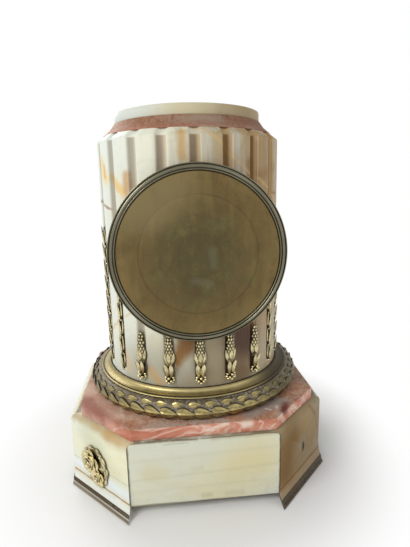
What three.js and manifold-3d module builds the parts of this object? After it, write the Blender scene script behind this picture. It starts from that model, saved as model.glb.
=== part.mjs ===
import * as THREE from "three";
import { mergeVertices } from "three/addons/utils/BufferGeometryUtils.js";
import Module from "manifold-3d";

// Column clock of onyx and gilt bronze. Millimetres, +Z up, origin on the ground under the
// column's axis. The dial faces -Y and the round rear cover faces +Y.

const wasm = await Module();
wasm.setup();

// Clearances
const gap = 0.3;
const roundSegments = 36;
const smallSegments = 12;
const rodSegments = 8;

// Heights of the stack, from the ground up
const footHeight = 7.2;
const panelHeight = 52.4;
const slabThickness = 9.5;
const columnHeight = 208.9;
const marbleRingHeight = 9.6;
const topDiscThickness = 8;
const dialCentreHeight = 122.5;

// Column: the sizes of what stands round it are measured from its radius
const columnRadius = 75;
const columnWall = 15;
const columnBore = columnRadius - columnWall;
const fluteCount = 20;
const fluteWidth = 9;
const fluteDepth = 2.2;
const columnChamferWidth = 5.5;
const columnChamferHeight = 4.5;

// Plinth panels and canted corner blocks; cant distances are square to the canted face. The side
// panels stand further out than the back and front ones, and have a wide round shoulder
const plinthReach = 23.2;
const panelFace = columnRadius + plinthReach;
const sideReach = 30.6;
const sideFace = columnRadius + sideReach;
const sideShoulderWidth = 8.8;
const panelThickness = 14;
const cantReach = 11.2;
const cantFace = panelFace + cantReach;
const blockThickness = 18.4;
const blockInner = cantFace - blockThickness;
const shoulderWidth = 3.9;
const shoulderHeight = 5.5;
const flareWidth = 3.7;
const flareHeight = 14;
const slabOverhang = 2.4;

// Feet under the corner blocks
const stripHeight = 4.6;
const stripLipHeight = 1.5;
const stripLipWidth = 1.8;
const stripReach = 7.3;
const stripEdge = cantFace + stripReach;
const stripRake = 1.4;
const stripSetback = 0.8;

// Base ring and laurel wreath
const ringWall = 3.7;
const ringLipReach = 9.6;
const ringLipRadius = columnRadius + ringLipReach;
const ringLipThickness = 1.2;
const ringCoveHeight = 3.8;
const wreathHeight = 13.5;
const wreathReach = 18.5;
const wreathOuterRadius = columnRadius + wreathReach;
const wreathLeaves = 30;
const leafRelief = 0.9;

// Marble ring and top disc
const ringShoulder = 4.7;
const ringShoulderHeight = 4.4;
const topDiscSetback = 15.2;
const topDiscRadius = columnRadius - topDiscSetback;
const topDiscEdge = 0.8;

// Gilt drops in the flutes
const dropFoot = 21.9;
const dropTopGap = 2.6;
const shortDropWidth = 9.2;
const tallDropHeight = 119;
const tallDropWidth = 5.8;
const tallDropBunches = 8;

// Rose mounts on the canted blocks
const roseOffset = 10;
const rosePinHeight = 25.7;
const rosePinRadius = 1.5;
const rosePinLength = 6;
const bigRoseRadius = 9;
const smallRoseRadius = 6.5;
const roseDepth = 6;
const roseBackThickness = 1.6;
const roseLeafLength = 15;
const roseLeafWidth = 6;

// Drum: sleeves, rear cover and front bezel, all round the axis of the dial
const drumSetback = 12.7;
const drumRadius = columnRadius - drumSetback;
const drumReach = 12.4;
const drumFace = columnRadius + drumReach;
const openingSetback = 4.3;
const openingRadius = drumRadius - openingSetback;
const rimDepth = 9.5;
const rimWall = 1.5;
const sleeveWall = 1.7;
const flangeSetback = 2.1;
const flangeRadius = drumRadius - flangeSetback;
const flangeThickness = 1.9;
const sleeveDepth = 36;
const spigotDepth = 11;
const coverSheet = 1.2;

// Front parts
const glassThickness = 1.6;
const glassSetback = 3.6;
const bezelLip = 2.7;
const dialEdge = 9.3;
const dialRadius = drumRadius - dialEdge;
const dialThickness = 1.6;
const dialSetback = 12.4;
const seatWidth = 9;
const seatInnerRadius = dialRadius - seatWidth;
const seatThickness = 6.8;
const hingeRadius = 2;
const hingePinRadius = 0.9;
const knuckleHalfLength = 4.5;
const hingeHalfLength = 9.5;

// Movement: the train's places and wheels are shares of its plates' radius
const plateSetback = 16.3;
const plateRadius = drumRadius - plateSetback;
const plateThickness = 2;
const plateSpacing = 40;
const arborRadius = 1.5;
const barrelX = 0.48 * plateRadius;
const barrelZ = -0.21 * plateRadius;
const barrelRadius = 0.39 * plateRadius;
const barrelWheelRadius = 0.456 * plateRadius;
const barrelLength = 17;
const squareRadius = 2.2;
const centreWheelRadius = 0.274 * plateRadius;
const thirdWheelRadius = 0.2 * plateRadius;
const thirdX = 0.166 * plateRadius;
const thirdZ = 0.27 * plateRadius;
const escapeZ = 0.446 * plateRadius;
const escapeWheelRadius = 0.187 * plateRadius;
const anchorZ = 0.717 * plateRadius;
const wheelThickness = 1.5;
const greatWheelTeeth = 42;
const centreWheelTeeth = 36;
const thirdWheelTeeth = 32;
const escapeWheelTeeth = 15;
const pillarRadius = 2.5;

// Pendulum, bell and hammer
const pendulumPivotZ = 0.87 * plateRadius;
const pendulumLength = 126;
const bobRadius = 14;
const bobThickness = 7;
const crutchLength = 25;
const palletSwing = 1.25;
const bellRadius = 36;
const bellDepth = 14;
const bellWall = 1.4;
const bellStand = 30;
const bellX = -9;
const bellZ = -3;
const hammerX = 0.826 * plateRadius;
const hammerZ = 0.26 * plateRadius;
const hammerReach = 19.2;
const hammerHeadRadius = 3.6;

// Hands
const hourHandLength = 29;
const minuteHandLength = 43;

// Levels that follow from the stack
const panelTop = footHeight + panelHeight;
const slabTop = panelTop + slabThickness;
const columnTop = slabTop + columnHeight;
const marbleRingTop = columnTop + marbleRingHeight;
const dialHeight = slabTop + dialCentreHeight;
const footLineZ = slabTop + dropFoot;
const shortDropHeight = dialCentreHeight - openingRadius - dropFoot - dropTopGap;

// Materials
function material(color, roughness, metalness) {
  return new THREE.MeshStandardMaterial({ color, roughness, metalness });
}

const onyx = material(0xdfdcc4, 0.3, 0);
const pinkMarble = material(0xd2937c, 0.4, 0);
const giltBronze = material(0xc7a24f, 0.35, 1);
const darkBronze = material(0x5f5648, 0.45, 1);
const oldBrass = material(0x6e5e35, 0.45, 1);
const brass = material(0xb8964a, 0.35, 1);
const steel = material(0x8e9196, 0.3, 1);
const blueSteel = material(0x1d2433, 0.3, 1);
const bellMetal = material(0xa9a08c, 0.25, 1);
const enamel = material(0xf2efe6, 0.2, 0);
const glass = material(0xdfe8e8, 0.05, 0);

// Closed bodies: a three.js geometry becomes a solid for cutting, and a solid a geometry again
function signedVolume(positions, triangles) {
  const corners = [new THREE.Vector3(), new THREE.Vector3(), new THREE.Vector3()];
  let volume = 0;
  for (let i = 0; i < triangles.length; i += 3) {
    corners.forEach((corner, k) => corner.fromArray(positions, triangles[i + k] * 3));
    volume += corners[0].dot(corners[1].cross(corners[2])) / 6;
  }
  return volume;
}

function solidOf(geometry) {
  const bare = geometry.clone();
  bare.deleteAttribute("normal");
  bare.deleteAttribute("uv");
  const welded = mergeVertices(bare, 1e-4);
  const positions = Float32Array.from(welded.attributes.position.array);
  const triangles = [];
  for (let i = 0; i < welded.index.count; i += 3) {
    const [a, b, c] = [0, 1, 2].map((k) => welded.index.getX(i + k));
    if (a !== b && b !== c && c !== a) triangles.push(a, b, c);
  }
  if (signedVolume(positions, triangles) < 0) triangles.reverse();
  const triVerts = Uint32Array.from(triangles);
  return new wasm.Manifold(new wasm.Mesh({ numProp: 3, vertProperties: positions, triVerts }));
}

function geometryOf(solid) {
  const { vertProperties, triVerts } = solid.getMesh();
  const geometry = new THREE.BufferGeometry();
  geometry.setAttribute("position", new THREE.BufferAttribute(vertProperties, 3));
  geometry.setIndex(new THREE.BufferAttribute(triVerts, 1));
  geometry.computeVertexNormals();
  return geometry;
}

// Outlines and turned shapes
function shapeOf(points) {
  return new THREE.Shape(points.map(([x, y]) => new THREE.Vector2(x, y)));
}

function extrude(shape, depth, curveSegments = 4) {
  return new THREE.ExtrudeGeometry(shape, { depth, bevelEnabled: false, curveSegments });
}

// A shape drawn in X and Z, between two planes square to Y
function extrudeAlongY(shape, front, back, curveSegments) {
  return extrude(shape, back - front, curveSegments).rotateX(Math.PI / 2).translate(0, back, 0);
}

// Profiles list [radius, height]; a ring's profile closes on itself, a disc's ends on the axis
function turned(profile, segments) {
  const points = profile.map(([radius, height]) => new THREE.Vector2(radius, height));
  if (profile[0][0] > 0) points.push(points[0].clone());
  return new THREE.LatheGeometry(points, segments);
}

function turnedOnZ(profile, segments = roundSegments) {
  return turned(profile, segments).rotateX(Math.PI / 2);
}

function turnedOnY(profile, segments = roundSegments) {
  return turned(profile, segments);
}

function discProfile(radius, low, high) {
  return [[0, low], [radius, low], [radius, high], [0, high]];
}

function ringProfile(inner, outer, low, high) {
  return [[inner, low], [outer, low], [outer, high], [inner, high]];
}

function rodOnY(radius, front, back, x = 0, z = 0, segments = rodSegments) {
  return solidOf(turnedOnY(discProfile(radius, front, back), segments).translate(x, 0, z));
}

function box(sizeX, sizeY, sizeZ, x, y, z) {
  return solidOf(new THREE.BoxGeometry(sizeX, sizeY, sizeZ).translate(x, y, z));
}

function joined(solids) {
  return solids.reduce((whole, solid) => whole.add(solid));
}

// The part: meshes hang on groups, and the drum's group carries all that is centred on the dial
const part = new THREE.Group();
const drum = new THREE.Group();
drum.position.z = dialHeight;
part.add(drum);

function place(name, shape, look, parent = part) {
  const geometry = shape.isBufferGeometry ? shape : geometryOf(shape);
  const mesh = new THREE.Mesh(geometry, look);
  mesh.name = name;
  parent.add(mesh);
  return mesh;
}

function turnedGroup(angle) {
  const group = new THREE.Group();
  group.rotation.z = angle;
  part.add(group);
  return group;
}

// Plinth

// The canted face's profile from the foot strip to the top: a flare at the foot, a round shoulder above
function cantProfile() {
  const flareSteps = 4;
  const points = [];
  for (let i = 0; i < flareSteps; i += 1) {
    const height = (i / flareSteps) ** 1.5;
    points.push([cantFace + flareWidth * (1 - height) ** 3, stripHeight + flareHeight * height]);
  }
  return [...points, ...shoulder(cantFace, shoulderWidth)];
}

function shoulder(face, width) {
  const steps = 5;
  const points = [];
  for (let i = 0; i <= steps; i += 1) {
    const angle = (i / steps) * (Math.PI / 2);
    const inward = width * (1 - Math.cos(angle));
    points.push([face - inward, panelTop - shoulderHeight * (1 - Math.sin(angle))]);
  }
  return points;
}

// The back and front panels end on the line where the canted face meets their plane
const backSeam = cantFace * Math.SQRT2 - panelFace;
const sideSeam = cantFace * Math.SQRT2 - sideFace;

const backInner = panelFace - panelThickness;
const sideInner = sideFace - panelThickness;

function backOutline(low, spread) {
  const levels = [[cantFace, low], ...shoulder(cantFace, shoulderWidth)];
  const right = levels.map(([d, z]) => [d * Math.SQRT2 - panelFace + spread, z]);
  const left = right.map(([x, z]) => [-x, z]).reverse();
  return shapeOf([...right, ...left]);
}

function sideOutline(low, inner) {
  return shapeOf([[inner, low], [sideFace, low], ...shoulder(sideFace, sideShoulderWidth),
    [inner, panelTop]]);
}

const backPanel = extrudeAlongY(backOutline(footHeight, 0), backInner, panelFace);
const sidePanel = extrudeAlongY(sideOutline(footHeight, sideInner), -sideSeam, sideSeam);
place("plinth_back_panel", backPanel, onyx);
place("plinth_front_panel", backPanel, onyx, turnedGroup(Math.PI));
place("plinth_left_panel", sidePanel, onyx);
place("plinth_right_panel", sidePanel, onyx, turnedGroup(Math.PI));

// Seen from behind, drawn with its canted face on +X and the side panel towards -Y. It is cut where
// the two panels stand, and below them its foot ends in line with them
function cornerBlock() {
  const far = 2 * columnRadius;
  const outline = [[blockInner, stripHeight], ...cantProfile(), [blockInner, panelTop]];
  const prism = solidOf(extrudeAlongY(shapeOf(outline), -panelFace / 2, panelFace / 2));
  const envelope = solidOf(extrudeAlongY(sideOutline(-footHeight, 0), 0, far));
  const besideBack = solidOf(extrudeAlongY(backOutline(-footHeight, gap), backInner - gap, far));
  const besideSide = box(far, sideSeam + gap, 3 * panelTop, sideInner - gap + far / 2,
    (sideSeam + gap) / 2, 0);
  const underBack = box(backSeam + gap, far, 2 * footHeight, (backSeam + gap) / 2, far / 2, 0);
  const underSide = box(far, sideSeam + gap, 2 * footHeight, far / 2, (sideSeam + gap) / 2, 0);
  const room = envelope.subtract(joined([besideBack, besideSide, underBack, underSide]));
  return prism.intersect(room.rotate([0, 0, -45]));
}

function pinHole() {
  const depth = rosePinLength + 4;
  return turnedOnZ(discProfile(rosePinRadius, -depth, depth), rodSegments).rotateY(Math.PI / 2);
}

function footStrip() {
  const outline = [
    [blockInner, 0],
    [stripEdge, 0],
    [stripEdge, stripLipHeight],
    [stripEdge - stripLipWidth, stripLipHeight + gap],
    [stripEdge - stripLipWidth - stripRake, stripHeight],
    [blockInner, stripHeight],
  ];
  const prism = solidOf(extrudeAlongY(shapeOf(outline), -columnRadius, columnRadius));
  const inner = backSeam + stripSetback;
  const outer = sideFace + stripSetback;
  const space = box(outer - inner, columnRadius, panelTop, (outer + inner) / 2,
    sideSeam + stripSetback + columnRadius / 2, 0);
  return prism.intersect(space.rotate([0, 0, -45]));
}

// The mount and its pin stand nearer to the side panel than to the back or front panel
const corners = [
  { name: "back_left", angle: 45, roseSide: -1 },
  { name: "front_left", angle: -45, roseSide: 1 },
  { name: "front_right", angle: -135, roseSide: -1 },
  { name: "back_right", angle: 135, roseSide: 1 },
];

function onSide(solid, roseSide) {
  return roseSide < 0 ? solid : solid.mirror([0, 1, 0]);
}

corners.forEach(({ name, angle, roseSide }) => {
  const group = turnedGroup(THREE.MathUtils.degToRad(angle));
  const hole = solidOf(pinHole().translate(cantFace, roseSide * roseOffset, rosePinHeight));
  place(`corner_block_${name}`, onSide(cornerBlock(), roseSide).subtract(hole), onyx, group);
  place(`foot_strip_${name}`, onSide(footStrip(), roseSide), darkBronze, group);
  if (name !== "back_right") place(`rose_mount_${name}`, roseMount(roseSide), giltBronze, group);
});

// A sprig with a large and a small rose, drawn on the canted face with its pin in the hole
function rose(radius, y, z) {
  const petals = [
    [0, 0],
    [radius, 0],
    [radius * 0.97, roseDepth * 0.35],
    [radius * 0.72, roseDepth * 0.55],
    [radius * 0.66, roseDepth * 0.8],
    [radius * 0.36, roseDepth],
    [0, roseDepth * 0.8],
  ];
  return solidOf(turnedOnZ(petals, smallSegments).rotateY(Math.PI / 2).translate(0, y, z));
}

function leaf(share, angle, y, z) {
  const length = roseLeafLength * share;
  const outline = new THREE.Shape().moveTo(0, 0);
  outline.quadraticCurveTo(length * 0.4, roseLeafWidth, length, 0);
  outline.quadraticCurveTo(length * 0.4, -roseLeafWidth, 0, 0);
  const blade = extrudeAlongY(outline, 0, roseBackThickness * 1.5, 3);
  return solidOf(blade.rotateY(-angle).rotateZ(-Math.PI / 2).translate(0, y, z));
}

function roseMount(side) {
  const back = bigRoseRadius * 0.5;
  const bigY = side * back;
  const smallY = -side * back;
  const sprig = joined([
    rose(bigRoseRadius, bigY, back),
    rose(smallRoseRadius, smallY, -back),
    leaf(1, Math.PI * 0.5 + side * 0.5, bigY, back),
    leaf(0.93, side > 0 ? -0.3 : Math.PI + 0.3, smallY, 0),
    leaf(1.13, -Math.PI * 0.5, smallY, -back * 0.5),
    leaf(0.93, side > 0 ? Math.PI + 0.6 : -0.6, bigY, back),
  ]);
  const pinProfile = discProfile(rosePinRadius - gap, -rosePinLength, roseBackThickness);
  const pin = solidOf(turnedOnZ(pinProfile, rodSegments).rotateY(Math.PI / 2));
  const seat = [cantFace + gap, side * roseOffset, rosePinHeight];
  const stone = onSide(cornerBlock(), side).translate([gap, 0, 0]);
  return sprig.translate(seat).subtract(stone).add(pin.translate(seat));
}

// Marble slab
function slabShape() {
  const across = panelFace - slabOverhang;
  const corner = (cantFace - shoulderWidth) * Math.SQRT2 - across;
  const points = [];
  for (let side = 0; side < 4; side += 1) {
    const turn = new THREE.Vector2(0, 0);
    [[across, -corner], [across, corner]].forEach(([x, y]) => {
      const point = new THREE.Vector2(x, y).rotateAround(turn, (side * Math.PI) / 2);
      points.push([point.x, point.y]);
    });
  }
  return shapeOf(points);
}

place("marble_slab", extrude(slabShape(), slabThickness).translate(0, 0, panelTop), pinkMarble);

// Base ring: an upright wall round the column with a cove and a lip over the wreath
const ringInner = columnRadius + gap;
const ringOuter = ringInner + ringWall;
const lipTop = slabTop + wreathHeight + gap + ringLipThickness;

function baseRing() {
  const coveSteps = 3;
  const cove = [];
  for (let i = 0; i <= coveSteps; i += 1) {
    const angle = (i / coveSteps) * (Math.PI / 2);
    const outward = (ringLipRadius - ringInner - 1.2) * (1 - Math.sin(angle));
    cove.push([ringInner + 1.2 + outward, lipTop + ringCoveHeight * (1 - Math.cos(angle))]);
  }
  return turnedOnZ([
    [ringInner, slabTop],
    [ringOuter, slabTop],
    [ringOuter, lipTop - ringLipThickness],
    [ringLipRadius, lipTop - ringLipThickness],
    ...cove,
    [ringInner, lipTop + ringCoveHeight],
  ]);
}

place("base_ring", baseRing(), giltBronze);

// Laurel wreath: a half-round band whose surface steps from leaf to leaf
function laurelWreath() {
  const bandCentre = ringLipRadius;
  const widest = wreathOuterRadius - bandCentre;
  const halfHeight = wreathHeight / 2;
  const steps = 5;
  const profile = [[ringOuter + gap, slabTop], [ringOuter + gap, slabTop + wreathHeight]];
  for (let i = 0; i <= steps; i += 1) {
    const angle = Math.PI / 2 - (i / steps) * Math.PI;
    profile.push([bandCentre + widest * Math.cos(angle), slabTop + halfHeight * (1 + Math.sin(angle))]);
  }
  const geometry = turnedOnZ(profile, 2 * wreathLeaves);
  const position = geometry.attributes.position;
  const point = new THREE.Vector3();
  for (let i = 0; i < position.count; i += 1) {
    point.fromBufferAttribute(position, i);
    const radius = Math.hypot(point.x, point.y);
    const leafStep = Math.round((Math.atan2(point.y, point.x) / Math.PI) * wreathLeaves);
    if (radius > bandCentre + 1 && leafStep % 2 !== 0) {
      const scale = (radius - leafRelief) / radius;
      position.setXY(i, point.x * scale, point.y * scale);
    }
  }
  return geometry;
}

place("laurel_wreath", solidOf(laurelWreath()), giltBronze);

// Column shaft: one flute faces each way along X and Y
function columnPlan() {
  const points = [];
  const halfAngle = Math.asin(fluteWidth / 2 / columnRadius);
  const pitch = (Math.PI * 2) / fluteCount;
  for (let flute = 0; flute < fluteCount; flute += 1) {
    const centre = Math.PI / 2 + flute * pitch;
    [-1, -0.5, 0, 0.5, 1].forEach((s) => {
      const angle = centre + s * halfAngle;
      const radius = columnRadius - fluteDepth * (1 - s * s);
      points.push([radius * Math.cos(angle), radius * Math.sin(angle)]);
    });
    const middle = centre + pitch / 2;
    points.push([columnRadius * Math.cos(middle), columnRadius * Math.sin(middle)]);
  }
  return shapeOf(points);
}

function columnShaft() {
  const plan = columnPlan();
  plan.holes.push(new THREE.Path().absarc(0, 0, columnBore, 0, Math.PI * 2, true));
  const tube = solidOf(extrude(plan, columnHeight, roundSegments / 2).translate(0, 0, slabTop));
  const clear = columnRadius * 1.1;
  const chamferEnd = columnRadius - columnChamferWidth;
  const slope = columnChamferHeight / columnChamferWidth;
  const envelope = solidOf(turnedOnZ([
    [0, slabTop],
    [clear, slabTop],
    [clear, columnTop - (clear - chamferEnd) * slope],
    [chamferEnd, columnTop],
    [0, columnTop],
  ], fluteCount * 2));
  const opening = rodOnY(openingRadius, -clear, clear, 0, dialHeight, roundSegments);
  return tube.intersect(envelope).subtract(opening);
}

place("column_shaft", columnShaft(), onyx);

// Marble ring in two sloping bands, and the top disc
const ringFoot = columnRadius - columnChamferWidth;
place("marble_ring", turnedOnZ([
  [0, columnTop],
  [ringFoot, columnTop],
  [ringFoot - ringShoulder, columnTop + ringShoulderHeight],
  [ringFoot - ringShoulder - 0.6, columnTop + ringShoulderHeight + 0.3],
  [topDiscRadius + 1, marbleRingTop],
  [0, marbleRingTop],
]), pinkMarble);

place("top_disc", turnedOnZ([
  [0, marbleRingTop],
  [topDiscRadius, marbleRingTop],
  [topDiscRadius, marbleRingTop + topDiscThickness - topDiscEdge],
  [topDiscRadius - topDiscEdge, marbleRingTop + topDiscThickness],
  [0, marbleRingTop + topDiscThickness],
]), onyx);

// Drops: half-round ornaments that lie against the two sides of their flute
function dropInFlute(profile, width) {
  const across = Math.min(width / fluteWidth, 1);
  const seat = Math.sqrt(columnRadius ** 2 - (width / 2) ** 2) - fluteDepth * (1 - across ** 2) + gap;
  const body = solidOf(turnedOnZ(profile, rodSegments).translate(0, seat, footLineZ));
  const behind = box(2 * width, columnRadius, columnHeight, 0, seat - columnRadius / 2,
    slabTop + columnHeight / 2);
  return geometryOf(body.subtract(behind));
}

// Leaf cup with berries below, neck and pine cone above
function shortDrop() {
  const half = shortDropWidth / 2;
  const at = (share, height) => [half * share, shortDropHeight * height];
  return dropInFlute([
    [0, 0],
    at(0.6, 0.03),
    at(0.76, 0.12),
    at(0.84, 0.2),
    at(1, 0.33),
    at(0.6, 0.36),
    at(0.55, 0.44),
    at(0.74, 0.62),
    at(0.7, 0.78),
    at(0.42, 0.91),
    [0, shortDropHeight],
  ], shortDropWidth);
}

// A chain of husks, each wide at its top, that narrows to a point
function tallDrop() {
  const half = tallDropWidth / 2;
  const profile = [[0, 0], [half * 0.75, 2.5]];
  const pitch = (tallDropHeight - 5) / tallDropBunches;
  for (let bunch = 0; bunch < tallDropBunches; bunch += 1) {
    const taper = bunch === tallDropBunches - 1 ? 0.75 : 1;
    profile.push([half * 0.62 * taper, 2.5 + pitch * (bunch + 0.25)]);
    profile.push([half * taper, 2.5 + pitch * (bunch + 0.85)]);
  }
  profile.push([0, tallDropHeight]);
  return dropInFlute(profile, tallDropWidth);
}

// Short drops fill the flutes under the cover and under the bezel, tall ones the rest
const shortReach = 2;
const shortGeometry = shortDrop();
const tallGeometry = tallDrop();
for (let flute = 0; flute < fluteCount; flute += 1) {
  const fromBack = Math.min(flute, fluteCount - flute);
  const fromFront = Math.abs(flute - fluteCount / 2);
  const short = Math.min(fromBack, fromFront) <= shortReach;
  const label = String(flute + 1).padStart(2, "0");
  const name = short ? `short_drop_${label}` : `tall_drop_${label}`;
  const mesh = place(name, short ? shortGeometry : tallGeometry, giltBronze);
  mesh.rotation.z = (flute / fluteCount) * Math.PI * 2;
}

// Drum: sleeves in the column's openings

const sleeveOuter = openingRadius - gap;
const sleeveInner = sleeveOuter - sleeveWall;
const spigotOuter = sleeveInner - gap;
const rimBack = drumFace - rimDepth;
const flangeFace = rimBack - gap;

// The stepped face that the cover and the bezel share, from the outer wall in to the last step
function rimFace() {
  return [
    [drumRadius, rimBack],
    [drumRadius, drumFace - 2.2],
    [drumRadius - 1.2, drumFace - 0.6],
    [drumRadius - 2.4, drumFace - 1.2],
    [drumRadius - 3.4, drumFace],
    [drumRadius - 4.6, drumFace],
  ];
}

function sleeveBody() {
  return solidOf(turnedOnY([
    [sleeveInner, flangeFace - sleeveDepth],
    [sleeveOuter, flangeFace - sleeveDepth],
    [sleeveOuter, flangeFace - flangeThickness],
    [flangeRadius, flangeFace - flangeThickness],
    [flangeRadius, flangeFace],
    [sleeveInner, flangeFace],
  ]));
}

place("rear_collar", sleeveBody(), brass, drum);

function rearCover() {
  const sheetOuter = drumFace - 1.2;
  const sheetInner = sheetOuter - coverSheet;
  const spigotInner = spigotOuter - rimWall;
  return turnedOnY([
    [0, sheetInner],
    [spigotInner, sheetInner],
    [spigotInner, flangeFace - spigotDepth],
    [spigotOuter, flangeFace - spigotDepth],
    [spigotOuter, sheetInner - 0.6],
    [drumRadius - rimWall, sheetInner - 0.6],
    [drumRadius - rimWall, rimBack],
    ...rimFace(),
    [drumRadius - 5.6, sheetOuter],
    [0, sheetOuter],
  ]);
}

place("rear_cover", rearCover(), oldBrass, drum);

// Front collar: sleeve, seat for dial and movement, hinge knuckles with their pin, and two straps
const mirrorY = [0, 1, 0];
const dialFront = dialSetback - drumFace;
const dialBack = dialFront + dialThickness;
const seatFront = dialBack + gap;
const seatBack = seatFront + seatThickness;
const frontPlateFace = seatBack + gap;
const hingeX = -(drumRadius + hingeRadius + gap);
const hingeY = -rimBack + 0.2;

function knuckle(radius, low, high) {
  return solidOf(turnedOnZ(discProfile(radius, low, high), smallSegments).translate(hingeX, hingeY, 0));
}

function strap(side) {
  const thickness = 2.4;
  const width = 10;
  const inner = plateRadius + 5;
  const backEnd = flangeFace - spigotDepth - 4;
  const footBlock = sleeveOuter - 1 - inner;
  const footLengthY = 16;
  const bar = box(thickness, backEnd - seatBack, width, side * (inner + thickness / 2),
    (backEnd + seatBack) / 2, 0);
  const foot = box(footBlock, footLengthY, width, side * (inner + footBlock / 2),
    seatBack + footLengthY / 4, 0);
  const facetRadius = sleeveInner * Math.cos(Math.PI / roundSegments) - gap;
  const tabReach = Math.sqrt(facetRadius ** 2 - (width / 2) ** 2) - inner;
  const tab = box(tabReach, 6, width, side * (inner + tabReach / 2), backEnd - 3, 0);
  return joined([bar, foot, tab]);
}

function frontCollar() {
  const seat = solidOf(turnedOnY(ringProfile(seatInnerRadius, sleeveInner + 0.8, seatFront, seatBack)));
  const lugHeight = hingeHalfLength - knuckleHalfLength - gap;
  const lugMiddle = knuckleHalfLength + gap + lugHeight / 2;
  const pieces = [sleeveBody().mirror(mirrorY), seat, strap(-1), strap(1),
    knuckle(hingePinRadius, -hingeHalfLength, hingeHalfLength)];
  [-1, 1].forEach((side) => {
    const low = side * lugMiddle - lugHeight / 2;
    const lugReach = -hingeX - flangeRadius + 2;
    pieces.push(knuckle(hingeRadius, low, low + lugHeight));
    pieces.push(box(lugReach, flangeThickness, lugHeight, hingeX + lugReach / 2,
      -flangeFace + flangeThickness / 2, side * lugMiddle));
  });
  return joined(pieces);
}

place("front_collar", frontCollar(), brass, drum);

// Bezel: the rim with a lip before the glass, and one hinge knuckle
const glassFront = glassSetback - drumFace;
const glassRadius = drumRadius - 6.1;

function frontBezel() {
  const innerWall = glassRadius + gap;
  const lipBack = drumFace - glassSetback + gap;
  const ring = solidOf(turnedOnY([
    [innerWall, rimBack],
    [innerWall + rimWall, rimBack],
    [innerWall + rimWall, drumFace - 3.4],
    [drumRadius - rimWall, drumFace - 3.4],
    [drumRadius - rimWall, rimBack],
    ...rimFace(),
    [glassRadius - bezelLip, lipBack + 0.6],
    [glassRadius - bezelLip, lipBack],
    [innerWall, lipBack],
  ])).mirror(mirrorY);
  const leafReach = -hingeX - drumRadius + 1;
  const leafThickness = 1.8;
  const hingeLeaf = box(leafReach, leafThickness, 2 * knuckleHalfLength, hingeX + leafReach / 2,
    hingeY - hingeRadius + leafThickness / 2 - 0.6, 0);
  const bore = knuckle(hingePinRadius + gap, -hingeHalfLength, hingeHalfLength);
  const barrel = knuckle(hingeRadius, -knuckleHalfLength, knuckleHalfLength);
  return joined([ring, hingeLeaf, barrel]).subtract(bore);
}

place("front_bezel", frontBezel(), brass, drum);
const glassDisc = turnedOnY(discProfile(glassRadius, glassFront, glassFront + glassThickness));
place("front_glass", glassDisc, glass, drum);

// Dial, with holes for the hands and the two winding squares
const barrels = [{ name: "strike_barrel", x: -barrelX }, { name: "going_barrel", x: barrelX }];
const cannonRadius = arborRadius + gap + 0.5;
const hourPipeRadius = cannonRadius + gap + 0.7;

function dialDisc() {
  const windingHole = squareRadius + 1.3;
  const holes = [rodOnY(hourPipeRadius + gap, dialFront - 1, dialBack + 1, 0, 0, smallSegments)];
  barrels.forEach(({ x }) => {
    holes.push(rodOnY(windingHole, dialFront - 1, dialBack + 1, x, barrelZ, smallSegments));
  });
  return rodOnY(dialRadius, dialFront, dialBack, 0, 0, roundSegments).subtract(joined(holes));
}

place("dial", dialDisc(), enamel, drum);

// Hands: a slender blade with a pierced eye
const hourHandFront = dialFront - 2.4;
const minuteHandFront = dialFront - 5.4;
const handThickness = 1;

function handBlade(length, front) {
  const hub = 3.4;
  const eye = length * 0.68;
  const eyeRadius = 2.6;
  const blade = new THREE.Shape();
  blade.moveTo(-1.1, 0).lineTo(-0.7, eye - eyeRadius).lineTo(-0.6, eye + eyeRadius);
  blade.lineTo(0, length).lineTo(0.6, eye + eyeRadius).lineTo(0.7, eye - eyeRadius).lineTo(1.1, 0);
  const back = front + handThickness;
  const round = rodOnY(hub, front, back, 0, 0, smallSegments);
  const eyeRing = rodOnY(eyeRadius + 0.9, front, back, 0, eye, smallSegments);
  const eyeHole = rodOnY(eyeRadius, front - 1, back + 1, 0, eye, smallSegments);
  return joined([solidOf(extrudeAlongY(blade, front, back)), round, eyeRing]).subtract(eyeHole);
}

function hand(length, front, pipeRadius, boreRadius) {
  const pipe = rodOnY(pipeRadius, front, frontPlateFace - gap, 0, 0, smallSegments);
  const bore = rodOnY(boreRadius, front - 1, frontPlateFace + 1, 0, 0, smallSegments);
  return handBlade(length, front).add(pipe).subtract(bore);
}

const hourHand = hand(hourHandLength, hourHandFront, hourPipeRadius, cannonRadius + gap);
const minuteHand = hand(minuteHandLength, minuteHandFront, cannonRadius, arborRadius + gap);
place("hour_hand", hourHand, blueSteel, drum);
place("minute_hand", minuteHand, blueSteel, drum);

// Movement frame
const frontPlateBack = frontPlateFace + plateThickness;
const backPlateFront = frontPlateBack + plateSpacing;
const backPlateBack = backPlateFront + plateThickness;
const pillars = [50, 130, 250, 290].map((degrees) => {
  const angle = THREE.MathUtils.degToRad(degrees);
  const radius = plateRadius - 2 * pillarRadius;
  return [radius * Math.cos(angle), radius * Math.sin(angle)];
});
const trainHoles = [[0, 0], [thirdX, thirdZ], [0, escapeZ], [0, anchorZ], [hammerX, hammerZ],
  ...barrels.map(({ x }) => [x, barrelZ])];

function plate(front, back) {
  const disc = rodOnY(plateRadius, front, back, 0, 0, roundSegments);
  const holes = trainHoles.map(([x, z]) => rodOnY(arborRadius + gap, front - 1, back + 1, x, z));
  return disc.subtract(joined(holes));
}

function frontPlate() {
  const holes = pillars.map(([x, z]) =>
    rodOnY(arborRadius + gap, frontPlateFace - 1, frontPlateBack + 1, x, z));
  const windingHoles = barrels.map(({ x }) =>
    rodOnY(squareRadius + gap, frontPlateFace - 1, frontPlateBack + 1, x, barrelZ));
  return plate(frontPlateFace, frontPlateBack).subtract(joined([...holes, ...windingHoles]));
}

place("movement_front_plate", frontPlate(), brass, drum);

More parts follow.
